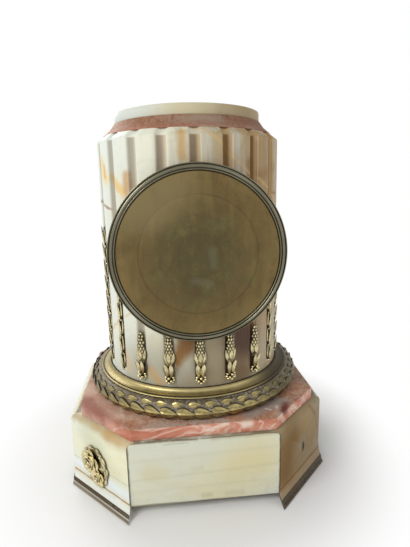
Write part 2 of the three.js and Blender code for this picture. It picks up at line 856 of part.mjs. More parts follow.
// Back plate with its pillars, the bell's post and the cock that the pendulum hangs on
const pendulumY = backPlateBack + 8;
const rodRadius = 1;
const cockBack = pendulumY + 3.4;
const bellTop = backPlateBack + bellStand;

function backPlate() {
  const pieces = [plate(backPlateFront, backPlateBack)];
  pillars.forEach(([x, z]) => {
    pieces.push(rodOnY(pillarRadius, frontPlateBack + gap, backPlateFront + 1, x, z));
    pieces.push(rodOnY(arborRadius, frontPlateFace + gap, frontPlateBack + 1, x, z));
  });
  const cockWall = 1.6;
  const cockTop = pendulumPivotZ + 6;
  pieces.push(box(8, cockBack + cockWall - backPlateBack + 1, 2, 0,
    (cockBack + cockWall + backPlateBack - 1) / 2, cockTop - 1));
  pieces.push(box(8, cockWall, 9, 0, cockBack + cockWall / 2, cockTop - 4.5));
  pieces.push(rodOnY(1, backPlateBack - 1, cockBack + 1, 0, pendulumPivotZ));
  pieces.push(rodOnY(pillarRadius, backPlateBack - 1, bellTop - bellWall - gap, bellX, bellZ));
  pieces.push(rodOnY(arborRadius, backPlateBack, bellTop + 2, bellX, bellZ));
  return joined(pieces);
}

place("movement_back_plate", backPlate(), brass, drum);

// Wheels and arbors
function toothedShape(teeth, outer, root) {
  const points = [];
  for (let i = 0; i < 2 * teeth; i += 1) {
    const radius = i % 2 === 0 ? outer : root;
    const angle = (i / teeth) * Math.PI;
    points.push([radius * Math.cos(angle), radius * Math.sin(angle)]);
  }
  return shapeOf(points);
}

// Four crossings between the hub and the rim
function crossings(shape, hub, rim) {
  const spoke = 1.1;
  for (let quarter = 0; quarter < 4; quarter += 1) {
    const start = (quarter * Math.PI) / 2;
    const path = new THREE.Path();
    const inner = Math.asin(spoke / hub);
    const outer = Math.asin(spoke / rim);
    path.absarc(0, 0, rim, start + outer, start + Math.PI / 2 - outer, false);
    path.absarc(0, 0, hub, start + Math.PI / 2 - inner, start + inner, true);
    shape.holes.push(path);
  }
  return shape;
}

function wheelAt(shape, x, z, front) {
  return solidOf(extrudeAlongY(shape, front, front + wheelThickness, 4).translate(x, 0, z));
}

function arborAt(x, z, front = frontPlateFace + gap, back = backPlateBack - gap) {
  return rodOnY(arborRadius, front, back, x, z);
}

const barrelFront = frontPlateBack + 2;
const greatWheelFront = barrelFront + barrelLength;
const centreWheelFront = greatWheelFront + 7.5;
const thirdWheelFront = centreWheelFront + 5;
const escapeWheelFront = frontPlateBack + 8;

barrels.forEach(({ name, x }) => {
  const drumBody = rodOnY(barrelRadius, barrelFront, greatWheelFront + 0.1, x, barrelZ, 24);
  const teeth = toothedShape(greatWheelTeeth, barrelWheelRadius, barrelWheelRadius - 1.3);
  const greatWheel = wheelAt(teeth, x, barrelZ, greatWheelFront);
  const square = rodOnY(squareRadius, dialFront + gap, barrelFront + 0.1, x, barrelZ, 4);
  const shaft = arborAt(x, barrelZ, barrelFront, backPlateBack - gap);
  place(name, joined([drumBody, greatWheel, square, shaft]), brass, drum);
});

function pinion(radius, x, z, front, length) {
  return rodOnY(radius, front, front + length, x, z, smallSegments);
}

// The centre arbor reaches forward to carry the minute hand
const centrePinion = Math.hypot(barrelX, barrelZ) - barrelWheelRadius - gap;
const centreTeeth = toothedShape(centreWheelTeeth, centreWheelRadius, centreWheelRadius - 1);
place("centre_wheel", joined([
  wheelAt(crossings(centreTeeth, 3.2, centreWheelRadius - 3), 0, 0, centreWheelFront),
  pinion(centrePinion, 0, 0, greatWheelFront - 1, 4),
  arborAt(0, 0, minuteHandFront - 1, backPlateBack - gap),
]), brass, drum);

const thirdPinion = Math.hypot(thirdX, thirdZ) - centreWheelRadius - gap;
const thirdTeeth = toothedShape(thirdWheelTeeth, thirdWheelRadius, thirdWheelRadius - 0.9);
place("third_wheel", joined([
  wheelAt(crossings(thirdTeeth, 2.8, thirdWheelRadius - 2.5), thirdX, thirdZ, thirdWheelFront),
  pinion(thirdPinion, thirdX, thirdZ, centreWheelFront - 1, 3.5),
  arborAt(thirdX, thirdZ),
]), brass, drum);

const escapePinion = Math.hypot(thirdX, escapeZ - thirdZ) - thirdWheelRadius - gap;
const escapeTeeth = toothedShape(escapeWheelTeeth, escapeWheelRadius, escapeWheelRadius - 1.6);
place("escape_wheel", joined([
  wheelAt(crossings(escapeTeeth, 2.4, escapeWheelRadius - 3.2), 0, escapeZ, escapeWheelFront),
  pinion(escapePinion, 0, escapeZ, thirdWheelFront - 1, 3.5),
  arborAt(0, escapeZ),
]), brass, drum);

// Anchor over the escape wheel, with the crutch that reaches back to the pendulum's rod
function anchorShape() {
  const span = escapeWheelRadius * 0.8;
  const tipReach = escapeWheelRadius + palletSwing;
  const drop = anchorZ - escapeZ - Math.sqrt(tipReach ** 2 - span ** 2);
  const arm = 1.4;
  return shapeOf([
    [0, 2.6],
    [span + arm, -drop * 0.55],
    [span + arm, -drop],
    [span, -drop],
    [span - 0.2, -drop * 0.6],
    [0, -2.2],
    [0.2 - span, -drop * 0.6],
    [-span, -drop],
    [-span - arm, -drop],
    [-span - arm, -drop * 0.55],
  ]);
}

function anchor() {
  const pallets = wheelAt(anchorShape(), 0, anchorZ, escapeWheelFront);
  const armFront = backPlateBack + 1.2;
  const armThickness = 1.2;
  const forkOffset = rodRadius + gap + 0.7;
  const forkZ = anchorZ - crutchLength;
  const pieces = [
    pallets,
    arborAt(0, anchorZ, frontPlateFace + gap, armFront + armThickness),
    box(2.4, armThickness, crutchLength, 0, armFront + armThickness / 2, anchorZ - crutchLength / 2),
    box(2 * forkOffset + 1.4, armThickness, 2, 0, armFront + armThickness / 2, forkZ),
  ];
  [-1, 1].forEach((side) => {
    pieces.push(rodOnY(0.7, armFront + 0.1, pendulumY + 2, side * forkOffset, forkZ));
  });
  return joined(pieces);
}

place("anchor", anchor(), steel, drum);

function pendulum() {
  const eyeHalf = 1.6;
  const eye = rodOnY(3, pendulumY - eyeHalf, pendulumY + eyeHalf, 0, pendulumPivotZ, smallSegments);
  const eyeBore = rodOnY(1 + gap, pendulumY - 4, pendulumY + 4, 0, pendulumPivotZ);
  const bobZ = pendulumPivotZ - pendulumLength;
  const rod = solidOf(turnedOnZ(discProfile(rodRadius, bobZ, pendulumPivotZ - 2), rodSegments)
    .translate(0, pendulumY, 0));
  const bob = solidOf(turnedOnY([
    [0, -bobThickness / 2],
    [bobRadius * 0.6, -bobThickness * 0.42],
    [bobRadius, 0],
    [bobRadius * 0.6, bobThickness * 0.42],
    [0, bobThickness / 2],
  ], 2 * smallSegments).translate(0, pendulumY, bobZ));
  return joined([eye, rod, bob]).subtract(eyeBore);
}

place("pendulum", pendulum(), brass, drum);

// Bell: a dome open towards the plate, on its post
function bell() {
  const steps = 4;
  const outer = [];
  const inner = [];
  for (let i = 0; i <= steps; i += 1) {
    const angle = (i / steps) * (Math.PI / 2);
    outer.push([bellRadius * Math.cos(angle), bellTop - bellDepth * (1 - Math.sin(angle))]);
    inner.push([(bellRadius - bellWall) * Math.cos(angle),
      bellTop - bellDepth + (bellDepth - bellWall) * Math.sin(angle)]);
  }
  outer[steps][0] = 0;
  inner[steps][0] = 0;
  const dome = solidOf(turnedOnY([...inner.reverse(), ...outer], 2 * smallSegments));
  const hole = rodOnY(arborRadius + gap, bellTop - bellDepth, bellTop + 1);
  return dome.subtract(hole).translate([bellX, 0, bellZ]);
}

place("bell", bell(), bellMetal, drum);

// Hammer: its arbor between the plates, its arm and head behind them, a millimetre off the bell's rim
function hammer() {
  const rimGap = 1;
  const toBell = bellRadius + hammerHeadRadius + rimGap;
  const reach = Math.hypot(hammerX - bellX, hammerZ - bellZ);
  const cosine = (reach ** 2 + hammerReach ** 2 - toBell ** 2) / (2 * reach * hammerReach);
  const direction = Math.atan2(bellZ - hammerZ, bellX - hammerX) + Math.acos(Math.min(1, cosine));
  const headX = hammerX + hammerReach * Math.cos(direction);
  const headZ = hammerZ + hammerReach * Math.sin(direction);
  const armFront = backPlateBack + 3;
  const armThickness = 2;
  const headBack = bellTop - bellDepth + 4;
  const armShape = solidOf(new THREE.BoxGeometry(hammerReach, armThickness, 2.4)
    .rotateY(-direction)
    .translate((hammerX + headX) / 2, armFront + armThickness / 2, (hammerZ + headZ) / 2));
  return joined([
    arborAt(hammerX, hammerZ, frontPlateFace + gap, armFront + armThickness),
    armShape,
    rodOnY(hammerHeadRadius, armFront - 0.5, headBack, headX, headZ, smallSegments),
  ]);
}

place("hammer", hammer(), steel, drum);

export default part;
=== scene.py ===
from math import cos, pi, radians, sin, tau

import bmesh
import bpy
from mathutils import Matrix, Vector


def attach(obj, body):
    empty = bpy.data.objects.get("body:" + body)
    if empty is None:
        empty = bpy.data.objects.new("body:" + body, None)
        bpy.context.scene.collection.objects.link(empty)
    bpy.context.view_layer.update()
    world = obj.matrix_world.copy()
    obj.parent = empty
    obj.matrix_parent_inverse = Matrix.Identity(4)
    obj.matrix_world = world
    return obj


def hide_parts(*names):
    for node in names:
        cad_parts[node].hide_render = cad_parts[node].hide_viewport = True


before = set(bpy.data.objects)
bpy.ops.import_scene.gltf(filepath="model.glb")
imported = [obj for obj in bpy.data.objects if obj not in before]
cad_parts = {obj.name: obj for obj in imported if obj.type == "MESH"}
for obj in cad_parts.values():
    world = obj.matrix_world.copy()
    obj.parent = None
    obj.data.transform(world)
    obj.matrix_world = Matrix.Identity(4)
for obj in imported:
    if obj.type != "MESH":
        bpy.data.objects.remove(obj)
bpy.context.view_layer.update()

# Column clock, seen from behind in the photograph's view. Metres, +Z up, rear cover on +Y, dial on -Y
print("frame loaded,", len(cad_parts), "nodes")

clock = {"dialHeight": 0.1916, "slabTop": 0.0691, "columnTop": 0.278}


# Shader maths: a wire carries a socket, and every sum on it adds a Math node
class Wire:
    def __init__(self, socket):
        self.socket = socket

    def node(self, kind, sockets, settings=None, out=0):
        made = self.socket.id_data.nodes.new(kind)
        for key, value in (settings or {}).items():
            setattr(made, key, value)
        for key, value in sockets.items():
            feed(made.inputs[key], value)
        return Wire(made.outputs[out])

    def sum(self, operation, *values):
        return self.node("ShaderNodeMath", dict(enumerate(values)), {"operation": operation})

    def __add__(self, other):
        return self.sum("ADD", self, other)

    def __sub__(self, other):
        return self.sum("SUBTRACT", self, other)

    def __rsub__(self, other):
        return self.sum("SUBTRACT", other, self)

    def __mul__(self, other):
        return self.sum("MULTIPLY", self, other)

    def __pow__(self, other):
        return self.sum("POWER", self, other)

    __radd__ = __add__
    __rmul__ = __mul__

    def size(self):
        return self.sum("ABSOLUTE", self)

    def least(self, other):
        return self.sum("MINIMUM", self, other)

    def most(self, other):
        return self.sum("MAXIMUM", self, other)

    def span(self, low, high, start=0.0, end=1.0):  # smooth step from low to high
        limits = {0: self, 1: low, 2: high, 3: start, 4: end}
        return self.node("ShaderNodeMapRange", limits, {"interpolation_type": "SMOOTHSTEP"})

    def band(self, middle, width):  # 1 on the middle value, 0 a width away
        return 1 - (self - middle).size().span(0, width)

    def split(self):
        made = self.node("ShaderNodeSeparateXYZ", {0: self}).socket.node
        return [Wire(output) for output in made.outputs]

    def moved(self, shift=(0, 0, 0), stretch=(1, 1, 1), turn=(0, 0, 0)):
        limits = {"Vector": self, "Location": shift, "Rotation": turn, "Scale": stretch}
        return self.node("ShaderNodeMapping", limits)

    def cloud(self, scale, detail=3, rough=0.55, warp=0.0):
        limits = {"Vector": self, "Scale": scale, "Detail": detail, "Roughness": rough, "Distortion": warp}
        return self.node("ShaderNodeTexNoise", limits)

    def vein(self, scale, width, detail=3, warp=0.0):
        return self.cloud(scale, detail, 0.5, warp).band(0.5, width)

    def mix(self, first, second):  # self is the share of the second colour
        return self.node("ShaderNodeMix", {0: self, 6: first, 7: second}, {"data_type": "RGBA"}, 2)

    def between(self, first, second):  # the same with two screen colours
        return self.mix(tone(*first), tone(*second))

    def coat(self, share, paint):  # self under a coat of a screen colour, as thick as share
        return share.mix(self, tone(*paint))

    def vectorSum(self, operation, values, out="Vector"):
        return self.node("ShaderNodeVectorMath", dict(enumerate(values)), {"operation": operation}, out)

    def away(self, start, end=None):  # distance from a point, or from the line between two points
        if end is None:
            return self.vectorSum("DISTANCE", (self, start), "Value")
        way = Vector(end) - Vector(start)
        share = self.vectorSum("SUBTRACT", (self, start))
        share = share.vectorSum("DOT_PRODUCT", (share, tuple(way / way.length_squared)), "Value")
        near = self.vectorSum("MULTIPLY_ADD", (share.most(0.0).least(1.0), tuple(way), start))
        return self.vectorSum("DISTANCE", (self, near), "Value")

    def fromDialAxis(self):
        x, y, z = self.split()
        lift = z - clock["dialHeight"]
        return (x * x + lift * lift) ** 0.5


def feed(socket, value):
    if isinstance(value, Wire):
        socket.id_data.links.new(value.socket, socket)
    elif isinstance(value, tuple) and len(value) == 3 and len(socket.default_value) == 4:
        socket.default_value = value + (1.0,)
    else:
        socket.default_value = value


def tone(red, green, blue, share=1.0):  # a screen colour, 0 to 255, as light, or a share of that light
    return tuple(share * (((value / 255 + 0.055) / 1.055) ** 2.4 if value > 10 else value / 255 / 12.92)
                 for value in (red, green, blue))


def startFinish(name, fixed=()):  # fixed values go straight on the shader's sockets
    material = bpy.data.materials.new(name)
    material.use_nodes = True
    tree = material.node_tree
    for key, value in dict(fixed).items():
        tree.nodes["Principled BSDF"].inputs[key].default_value = value
    return material, Wire(tree.nodes.new("ShaderNodeTexCoord").outputs["Object"])


def endFinish(material, colour, roughness, height=None, depth=0.0, strength=0.5, metallic=0.0):
    sockets = material.node_tree.nodes["Principled BSDF"].inputs
    feed(sockets["Base Color"], colour)
    feed(sockets["Roughness"], roughness)
    feed(sockets["Metallic"], metallic)
    if height:
        relief = {"Height": height, "Distance": depth, "Strength": strength}
        feed(sockets["Normal"], height.node("ShaderNodeBump", relief))
    return material


# A soft-edged spot on a finish, for stains and for patches of painted shade: where it starts and ends, how wide, its
# colour and its strength
def spotted(place, colour, spots):
    for start, end, radius, paint, strength in spots:
        edge = (place.cloud(min(220, 0.5 / radius), 4, 0.7) - 0.5) * min(radius, 0.02) * 1.2
        mask = 1 - (place.away(start, end) + edge).span(radius * 0.1, radius * 1.45)
        colour = colour.coat(mask * strength, paint)
    return colour


def spotsOn(surface, rows):  # the same, with both ends as two numbers on a surface
    return [(surface(*row[:2]), surface(*row[2:4]), *row[4:]) for row in rows]


# Onyx. Every block is cut from another place in the stone; veins are bands by direction, offset,
# half-width, colour and strength
stone = {"cream": (232, 229, 204), "pale": (224, 231, 224), "straw": (220, 210, 162), "smoke": (200, 201, 190),
         "mottle": (196, 194, 164), "streak": (124, 86, 38), "honey": (186, 146, 78), "pearl": (228, 234, 220),
         # flute colours: painted shade in the flutes, a lighter side, and a painted highlight along their edges
         "flute": (104, 72, 30), "fluteLitSide": (204, 176, 136), "fluteEdgeHighlight": (238, 226, 206)}


def onyxFinish(name, shift=(0, 0, 0), veins=(), spots=(), bedding=0.0, wander=0.004, straw=0.6, gloss=0.08,
               fluted=False):
    material, place = startFinish(name, {"IOR": 1.5, "Specular IOR Level": gloss})
    spot = place.moved(shift)
    wisps = spot.moved(stretch=(1, 1, 0.25)).cloud(60, 4, 0.6, 0.4)
    colour = spot.cloud(9, 3, 0.55).span(0.42, 0.62).between(stone["cream"], stone["pale"])
    colour = colour.coat(spot.cloud(14, 4, 0.6, 0.6).span(0.5, 0.72) * straw, stone["straw"])
    colour = colour.coat(wisps.span(0.5, 0.75) * 0.4, stone["smoke"])
    mottle = spot.moved(stretch=(0.5, 0.5, 1)).cloud(240, 4, 0.7)
    colour = colour.coat(mottle.span(0.5, 0.68) * 0.3, stone["mottle"])
    if bedding:
        fine = spot.moved(stretch=(0.1, 0.1, 1)).cloud(150, 3, 0.6)
        colour = colour.coat(fine.span(0.5, 0.72) * bedding, stone["straw"])
        colour = colour.coat(fine.span(0.5, 0.3) * bedding * 0.6, stone["smoke"])
    x, y, z = place.split()
    if fluted:  # upright streaks, browner towards -X, the right of the view: partly the stone's colour, partly painted shade on the side away from the light
        warmthAndShade = x.span(0.06, -0.045)
        upright = spot.moved(stretch=(1, 1, 0.07)).cloud(85, 4, 0.6)
        upper = z.span(0.12, 0.21, 0.15, 1.0)
        colour = colour.coat(upright.span(0.48, 0.62) * warmthAndShade * upper * 0.75, stone["streak"])
        tan = (x + (upright - 0.5) * 0.05).span(0.02, -0.034) * z.span(0.1, 0.15, 0.4, 0.8)
        colour = tan.mix(colour, upright.span(0.35, 0.6).between(stone["streak"], stone["honey"]))
        colour = colour.coat(upright.span(0.47, 0.36) * upper * 0.5, stone["pearl"])
        pearl = spot.moved(stretch=(1, 1, 0.3)).cloud(30, 4, 0.6, 0.5).span(0.52, 0.66)
        colour = colour.coat(pearl * 0.4, stone["pearl"])
    colour = spotted(place, colour, spots)
    drift = (spot.cloud(16, 4, 0.6) - 0.5) * wander * 2
    fray = spot.cloud(70, 4, 0.65)
    for (along, across, up), offset, width, paint, strength in veins:
        mask = (x * along + y * across + z * up + drift).band(offset, width) * fray.span(0.2, 0.5)
        colour = colour.coat(mask * strength, paint)
    if fluted:  # brown in the flutes, dirt and painted shade, darker on one side of each and towards -X, with a painted highlight along their edges
        radius, neck = (x * x + y * y) ** 0.5, clock["columnTop"] - column["chamferHeight"]
        under = z.span(neck, neck - 0.0015)
        turn = y.sum("ARCTAN2", y, x) * (column["flutes"] / tau) + 0.5
        share = turn.sum("FRACT", turn) - 0.5  # 0 in the middle of a flute
        # painted shade on one side of each flute, lighter on the other
        flute = (share.span(0.0, 0.13) * 0.75).between(stone["flute"], stone["fluteLitSide"])
        deep = 1 - radius.span(column["radius"] - 0.0016, column["radius"] - 0.0001)
        colour = (deep * under * (0.62 + 0.38 * warmthAndShade) * (0.7 + 0.3 * upright)).mix(colour, flute)
        # painted highlight along the flutes' edges
        colour = colour.coat(radius.band(column["radius"] - 0.0003, 0.0004) * under * 0.45, stone["fluteEdgeHighlight"])
    return endFinish(material, colour, wisps.span(0.3, 0.8, 0.26, 0.42), spot.cloud(420, 2), 0.00012)


# Pink marble: salmon with white swirls and dark red clots; its upper faces are brown with grey dust
marble = {"swirls": [(0.28, (158, 92, 72)), (0.42, (196, 126, 102)), (0.52, (210, 146, 122)),
                     (0.6, (232, 202, 182)), (0.68, (208, 150, 128))],
          "salmon": (188, 108, 84), "white": (240, 222, 206), "clot": (112, 44, 32), "dust": (172, 158, 146),
          "brown": (138, 102, 74), "paleBrown": (174, 144, 114), "speck": (96, 64, 52)}


def marbleFinish(name, dustFrom, dustSpread, shift=(0, 0, 0), spots=(), dusty=0.62, pale=0.5):
    material, place = startFinish(name, {"IOR": 1.5, "Specular IOR Level": 0.12})
    spot = place.moved(shift)
    flow = spot.moved(turn=(0, 0.6, 0.3), stretch=(1, 1, 2.4)).cloud(17, 4, 0.6, 1.6)
    colour = flow.node("ShaderNodeValToRGB", {"Fac": flow})
    stops = colour.socket.node.color_ramp.elements
    while len(stops) < len(marble["swirls"]):
        stops.new(0.5)
    for stop, (at, paint) in zip(stops, marble["swirls"]):
        stop.position, stop.color = at, tone(*paint) + (1.0,)
    colour = colour.coat(spot.cloud(60, 4, 0.7).span(0.52, 0.7) * 0.4, marble["salmon"])
    colour = colour.coat(spot.moved(stretch=(1, 1, 1.8)).vein(15, 0.03, 4, 1.2) * pale, marble["white"])
    colour = colour.coat(spot.cloud(34, 2, 0.4).span(0.68, 0.76) * 0.7, marble["clot"])
    top = place.split()[2].span(dustFrom, dustFrom + dustSpread)
    grain, coarse = spot.cloud(900, 3, 0.7), spot.cloud(380, 3, 0.7)
    brown = coarse.span(0.4, 0.62).between(marble["brown"], marble["paleBrown"])
    colour = (top * dusty).mix(colour, brown)
    dust = spot.cloud(24, 3, 0.6).span(0.46, 0.6) * top
    colour = colour.coat(dust * coarse.span(0.4, 0.56) * 0.8, marble["dust"])
    colour = colour.coat(grain.span(0.6, 0.72) * top * 0.6, marble["speck"])
    colour = spotted(place, colour, spots)
    relief = grain * dust + spot.cloud(300, 2) * 0.3
    return endFinish(material, colour, 0.42 + dust * 0.3 + top * 0.15, relief, 0.0003, 0.6)


# Cast gilt bronze: bright on what stands up, dark brown where a vertex attribute marks patina in hollows and painted
# shade between and under parts
def giltFinish(name, light, dark, roughness=0.3, wear=0.5, grain=1.0, sides=0.0):
    material, place = startFinish(name)
    patches = place.cloud(70, 3, 0.6)
    # the attribute holds patina in hollows and painted shade
    recess = place.node("ShaderNodeAttribute", {}, {"attribute_name": "recess"}, "Fac")
    tarnishAndShade = recess.most(patches.span(0.55, 0.8) * wear)
    if sides:  # painted shade, darker and duller towards the left and the right of the back
        x, y, z = place.split()
        tarnishAndShade = tarnishAndShade.most((x - 0.018).size().span(0.03, 0.085) * y.span(-0.06, -0.02) * sides)
    uneven = place.cloud(240, 3, 0.6).span(0.35, 0.65) * grain
    colour = uneven.between(light, (*light, 0.62)).coat(tarnishAndShade.span(0.1, 0.85), dark)
    roughness = roughness + tarnishAndShade * 0.3 + (place.cloud(260, 2) - 0.5) * 0.12
    return endFinish(material, colour, roughness, place.cloud(650, 3), 0.00012, metallic=1 - tarnishAndShade * 0.5)


# Dull metal under grey dust, as between the laurel leaves; lip paints a highlight along the foot strips' lower front
# edges, fading out towards -X, with a darker line through it
def dustyFinish(name, metal, dust, share=0.6, lip=0.0):
    material, place = startFinish(name, {"Specular IOR Level": 0.3})
    grain, drift = place.cloud(520, 3, 0.75), place.cloud(60, 3, 0.6)
    settled = grain.span(0.42, 0.6) * drift.span(0.35, 0.6) * share
    colour = drift.span(0.3, 0.7).between(metal, (*metal, 0.55)).coat(settled, dust)
    if lip:
        x, y, z = place.split()
        # painted highlight, strong towards +X and gone towards -X
        worn = x.span(-0.06, 0.05) * lip
        colour = colour.coat(z.span(0.0027, 0.0022) * worn, (184, 178, 162))
        colour = colour.coat(z.band(0.0015, 0.0005) * worn, (104, 94, 78))
    return endFinish(material, colour, 0.5 + settled * 0.3, grain, 0.0003, 0.6, metallic=0.55 - settled * 0.5)


# Turned brass: fine rings round the axis of the dial
def turnedBrass(name, bright, dull, dullness, roughness=0.28, rings=()):
    material, place = startFinish(name)
    radius = place.fromDialAxis()
    spots = place.cloud(38, 4, 0.65)
    fine = place.node("ShaderNodeCombineXYZ", {"X": radius * 1400, "Y": spots}).cloud(1, 2)
    dark = (dullness + (spots - 0.5) * 0.9).span(0.0, 1.0)
    colour = dark.between(bright, dull).coat((fine - 0.5).size().span(0, 0.5) * 0.22, (*dull, 0.45))
    # darker bands at given radii; on the rim, painted shade in its grooves
    for ring, width, strength in rings:
        colour = colour.coat(radius.band(ring, width) * strength, (*dull, 0.35))
    roughness = roughness + dark * 0.16 + (spots - 0.5) * 0.15
    return endFinish(material, colour, roughness, fine, 0.00004, 0.4, metallic=1 - dark * 0.25)


# The rear cover's olive patina: golden towards the rim, greener and duller in the middle, with faint turning lines,
# pits, soft wipe marks and smears, and a painted highlight as a pale streak across the middle
cover = {"edge": (118, 99, 58), "field": (102, 85, 48), "heart": (82, 73, 42), "brown": (108, 82, 42),
         "green": (98, 94, 54), "light": (126, 106, 60), "dark": (76, 62, 34), "wiped": (132, 112, 66),
         "spot": (62, 48, 26), "rings": [(0.0415, 0.0011, 0.28), (0.0275, 0.0008, 0.1), (0.0145, 0.001, 0.16)],
         "smearsAndHighlight": [(0.04, 0.225, 0.02, 0.235, 0.02, (134, 120, 82), 0.6),
                    # a painted highlight: a pale green streak across the middle of the cover
                    (-0.0095, 0.194, -0.01, 0.184, 0.0035, (112, 118, 92), 0.25),
                    (0.0045, 0.1735, -0.0085, 0.1705, 0.003, (108, 100, 84), 0.3)]}


def coverFinish():
    material, place = startFinish("olive patina")
    radius = place.fromDialAxis()
    blotch = place.cloud(45, 4, 0.6)
    uneven = radius + (blotch - 0.5) * 0.03
    colour = uneven.span(0.012, 0.05).between(cover["heart"], cover["field"])
    colour = colour.coat(uneven.span(0.045, 0.06), cover["edge"])
    colour = colour.coat(place.cloud(26, 4, 0.7).span(0.48, 0.7) * 0.55, cover["brown"])
    colour = colour.coat(place.moved((0.2, 0.3, 0.1)).cloud(60, 4, 0.7).span(0.5, 0.7) * 0.5, cover["green"])
    fleck = place.moved(turn=(0, 0.5, 0), stretch=(1, 1, 0.6)).cloud(130, 4, 0.75)
    colour = colour.coat(fleck.span(0.5, 0.7) * 0.25, cover["light"])
    colour = colour.coat(fleck.span(0.5, 0.34) * 0.35, cover["dark"])
    wiped = place.moved(turn=(0, 0.9, 0), stretch=(1, 1, 0.12)).cloud(120, 3, 0.6)
    colour = colour.coat(wiped.span(0.55, 0.7) * 0.22, cover["wiped"])
    pits = place.cloud(520, 3, 0.7).span(0.62, 0.74) * place.cloud(30, 2).span(0.42, 0.6)
    colour = colour.coat(pits * 0.5, cover["spot"])
    turned = place.node("ShaderNodeCombineXYZ", {"X": radius * 2200, "Y": blotch * 0.6}).cloud(1, 2)
    colour = colour.coat(turned.span(0.55, 0.8) * 0.18, cover["spot"])
    for ring, width, strength in cover["rings"]:
        colour = colour.coat(radius.band(ring, width) * strength, cover["spot"])
    colour = spotted(place, colour, spotsOn(lambda x, z: (x, 0.0862, z), cover["smearsAndHighlight"]))
    return endFinish(material, colour, 0.46 + (blotch - 0.5) * 0.2, turned - pits, 0.00005, 0.4,
                     metallic=0.7 - blotch * 0.2)


def steelFinish(name, colour, roughness, metallic=1.0):
    material, place = startFinish(name)
    smear = place.cloud(120, 3, 0.6)
    return endFinish(material, smear.span(0.3, 0.8).between(colour, (*colour, 0.6)),
                     roughness + (smear - 0.5) * 0.2, place.moved(stretch=(1, 1, 6)).cloud(500, 2), 0.00003, 0.4,
                     metallic=metallic - smear * 0.1)


def enamelFinish():
    material, place = startFinish("dial enamel", {"Coat Weight": 0.6, "Coat Roughness": 0.05})
    haze = place.cloud(40, 3, 0.5)
    hairs = place.vein(18, 0.004, 3, 0.4) * place.cloud(9, 1).span(0.6, 0.7)
    colour = haze.span(0.4, 0.7).between((240, 236, 224), (232, 226, 210)).coat(hairs * 0.4, (150, 138, 118))
    return endFinish(material, colour, haze.span(0.3, 0.8, 0.12, 0.22), place.cloud(110, 2), 0.00006, 0.3)


def glassFinish():
    material, place = startFinish("clear glass", {"IOR": 1.46, "Transmission Weight": 1.0})
    smear = place.cloud(30, 3, 0.6)
    tint = smear.span(0.4, 0.8).mix((1.0, 1.0, 1.0), (0.965, 0.98, 0.975))
    return endFinish(material, tint, smear.span(0.5, 0.8, 0.01, 0.04))


finishes = {
    "gilt": giltFinish("gilt bronze", (236, 222, 172), (36, 26, 12), 0.24),
    # sides paints shade towards the left and the right ends of the back
    "wreathGilt": giltFinish("worn gilt", (182, 166, 112), (36, 28, 14), 0.28, wear=0.75, sides=0.6),
    "oldGilt": giltFinish("antique gilt", (176, 162, 116), (46, 38, 24), 0.42, wear=0.3, grain=0.25, sides=0.7),
    "dustyCore": dustyFinish("dusty bronze", (108, 96, 74), (166, 158, 146), 0.9),
    "darkBronze": dustyFinish("dark bronze", (80, 68, 52), (122, 114, 100), 0.4, lip=0.85),
    "cover": coverFinish(),
    # the rim's darker rings are painted shade in its grooves
    "rimBrass": turnedBrass("rim brass", (140, 136, 116), (84, 78, 58), 0.5, 0.2, rings=[
        (0.0609, 0.0005, 0.45), (0.0584, 0.0006, 0.6), (0.0569, 0.0006, 0.4)]),
    "sleeveBrass": turnedBrass("sleeve brass", (176, 150, 88), (112, 94, 56), 0.45, 0.32),
    "bezelBrass": turnedBrass("bezel brass", (204, 172, 100), (150, 122, 66), 0.25, 0.2),
    "workBrass": turnedBrass("movement brass", (206, 176, 104), (150, 122, 66), 0.3, 0.28),
    "bell": turnedBrass("bell metal", (186, 176, 154), (140, 128, 104), 0.3, 0.22),
    "steel": steelFinish("polished steel", (150, 152, 156), 0.28),
    "blued": steelFinish("blued steel", (30, 40, 78), 0.26),
    "ink": steelFinish("fired black", (26, 24, 24), 0.3, 0.1),
    "enamel": enamelFinish(),
    "glass": glassFinish(),
}
print("metals, enamel and glass ready")


# Mesh work
def about(axis, degrees):
    return Matrix.Rotation(radians(degrees), 4, axis)


def polar(reach, degrees):
    return reach * cos(radians(degrees)), reach * sin(radians(degrees))


outward = Matrix(((0, 0, 1, 0), (1, 0, 0, 0), (0, 1, 0, 0), (0, 0, 0, 1)))  # turns Z to +X and Y to up


def moveMesh(mesh, place):
    bmesh.ops.transform(mesh, matrix=place, verts=mesh.verts)
    return mesh


def bakeMesh(mesh, name="part"):
    data = bpy.data.meshes.new(name)
    mesh.to_mesh(data)
    mesh.free()
    return data


def addObject(name, data):
    shape = bpy.data.objects.new(name, data)
    bpy.context.scene.collection.objects.link(shape)
    return shape


def settledMesh(shape):  # the mesh of an object as its modifiers or its text make it
    bpy.context.view_layer.update()
    return bpy.data.meshes.new_from_object(shape.evaluated_get(bpy.context.evaluated_depsgraph_get()))


def line(mesh, points, closed=False):
    corners = [mesh.verts.new(point) for point in points]
    pairs = list(zip(corners, corners[1:] + corners[:1]))
    if not closed:
        pairs.pop()
    return corners + [mesh.edges.new(pair) for pair in pairs]


def fillHoles(mesh):
    bmesh.ops.holes_fill(mesh, edges=[edge for edge in mesh.edges if edge.is_boundary])


def soften(mesh, width, segments=2, sharpest=30):  # rounds every edge sharper than that angle
    mesh.normal_update()
    edges = [edge for edge in mesh.edges
             if len(edge.link_faces) == 2 and edge.calc_face_angle() > radians(sharpest)]
    bmesh.ops.bevel(mesh, geom=edges, offset=width, segments=segments, profile=0.5,
                    affect="EDGES", material=-1, clamp_overlap=True)


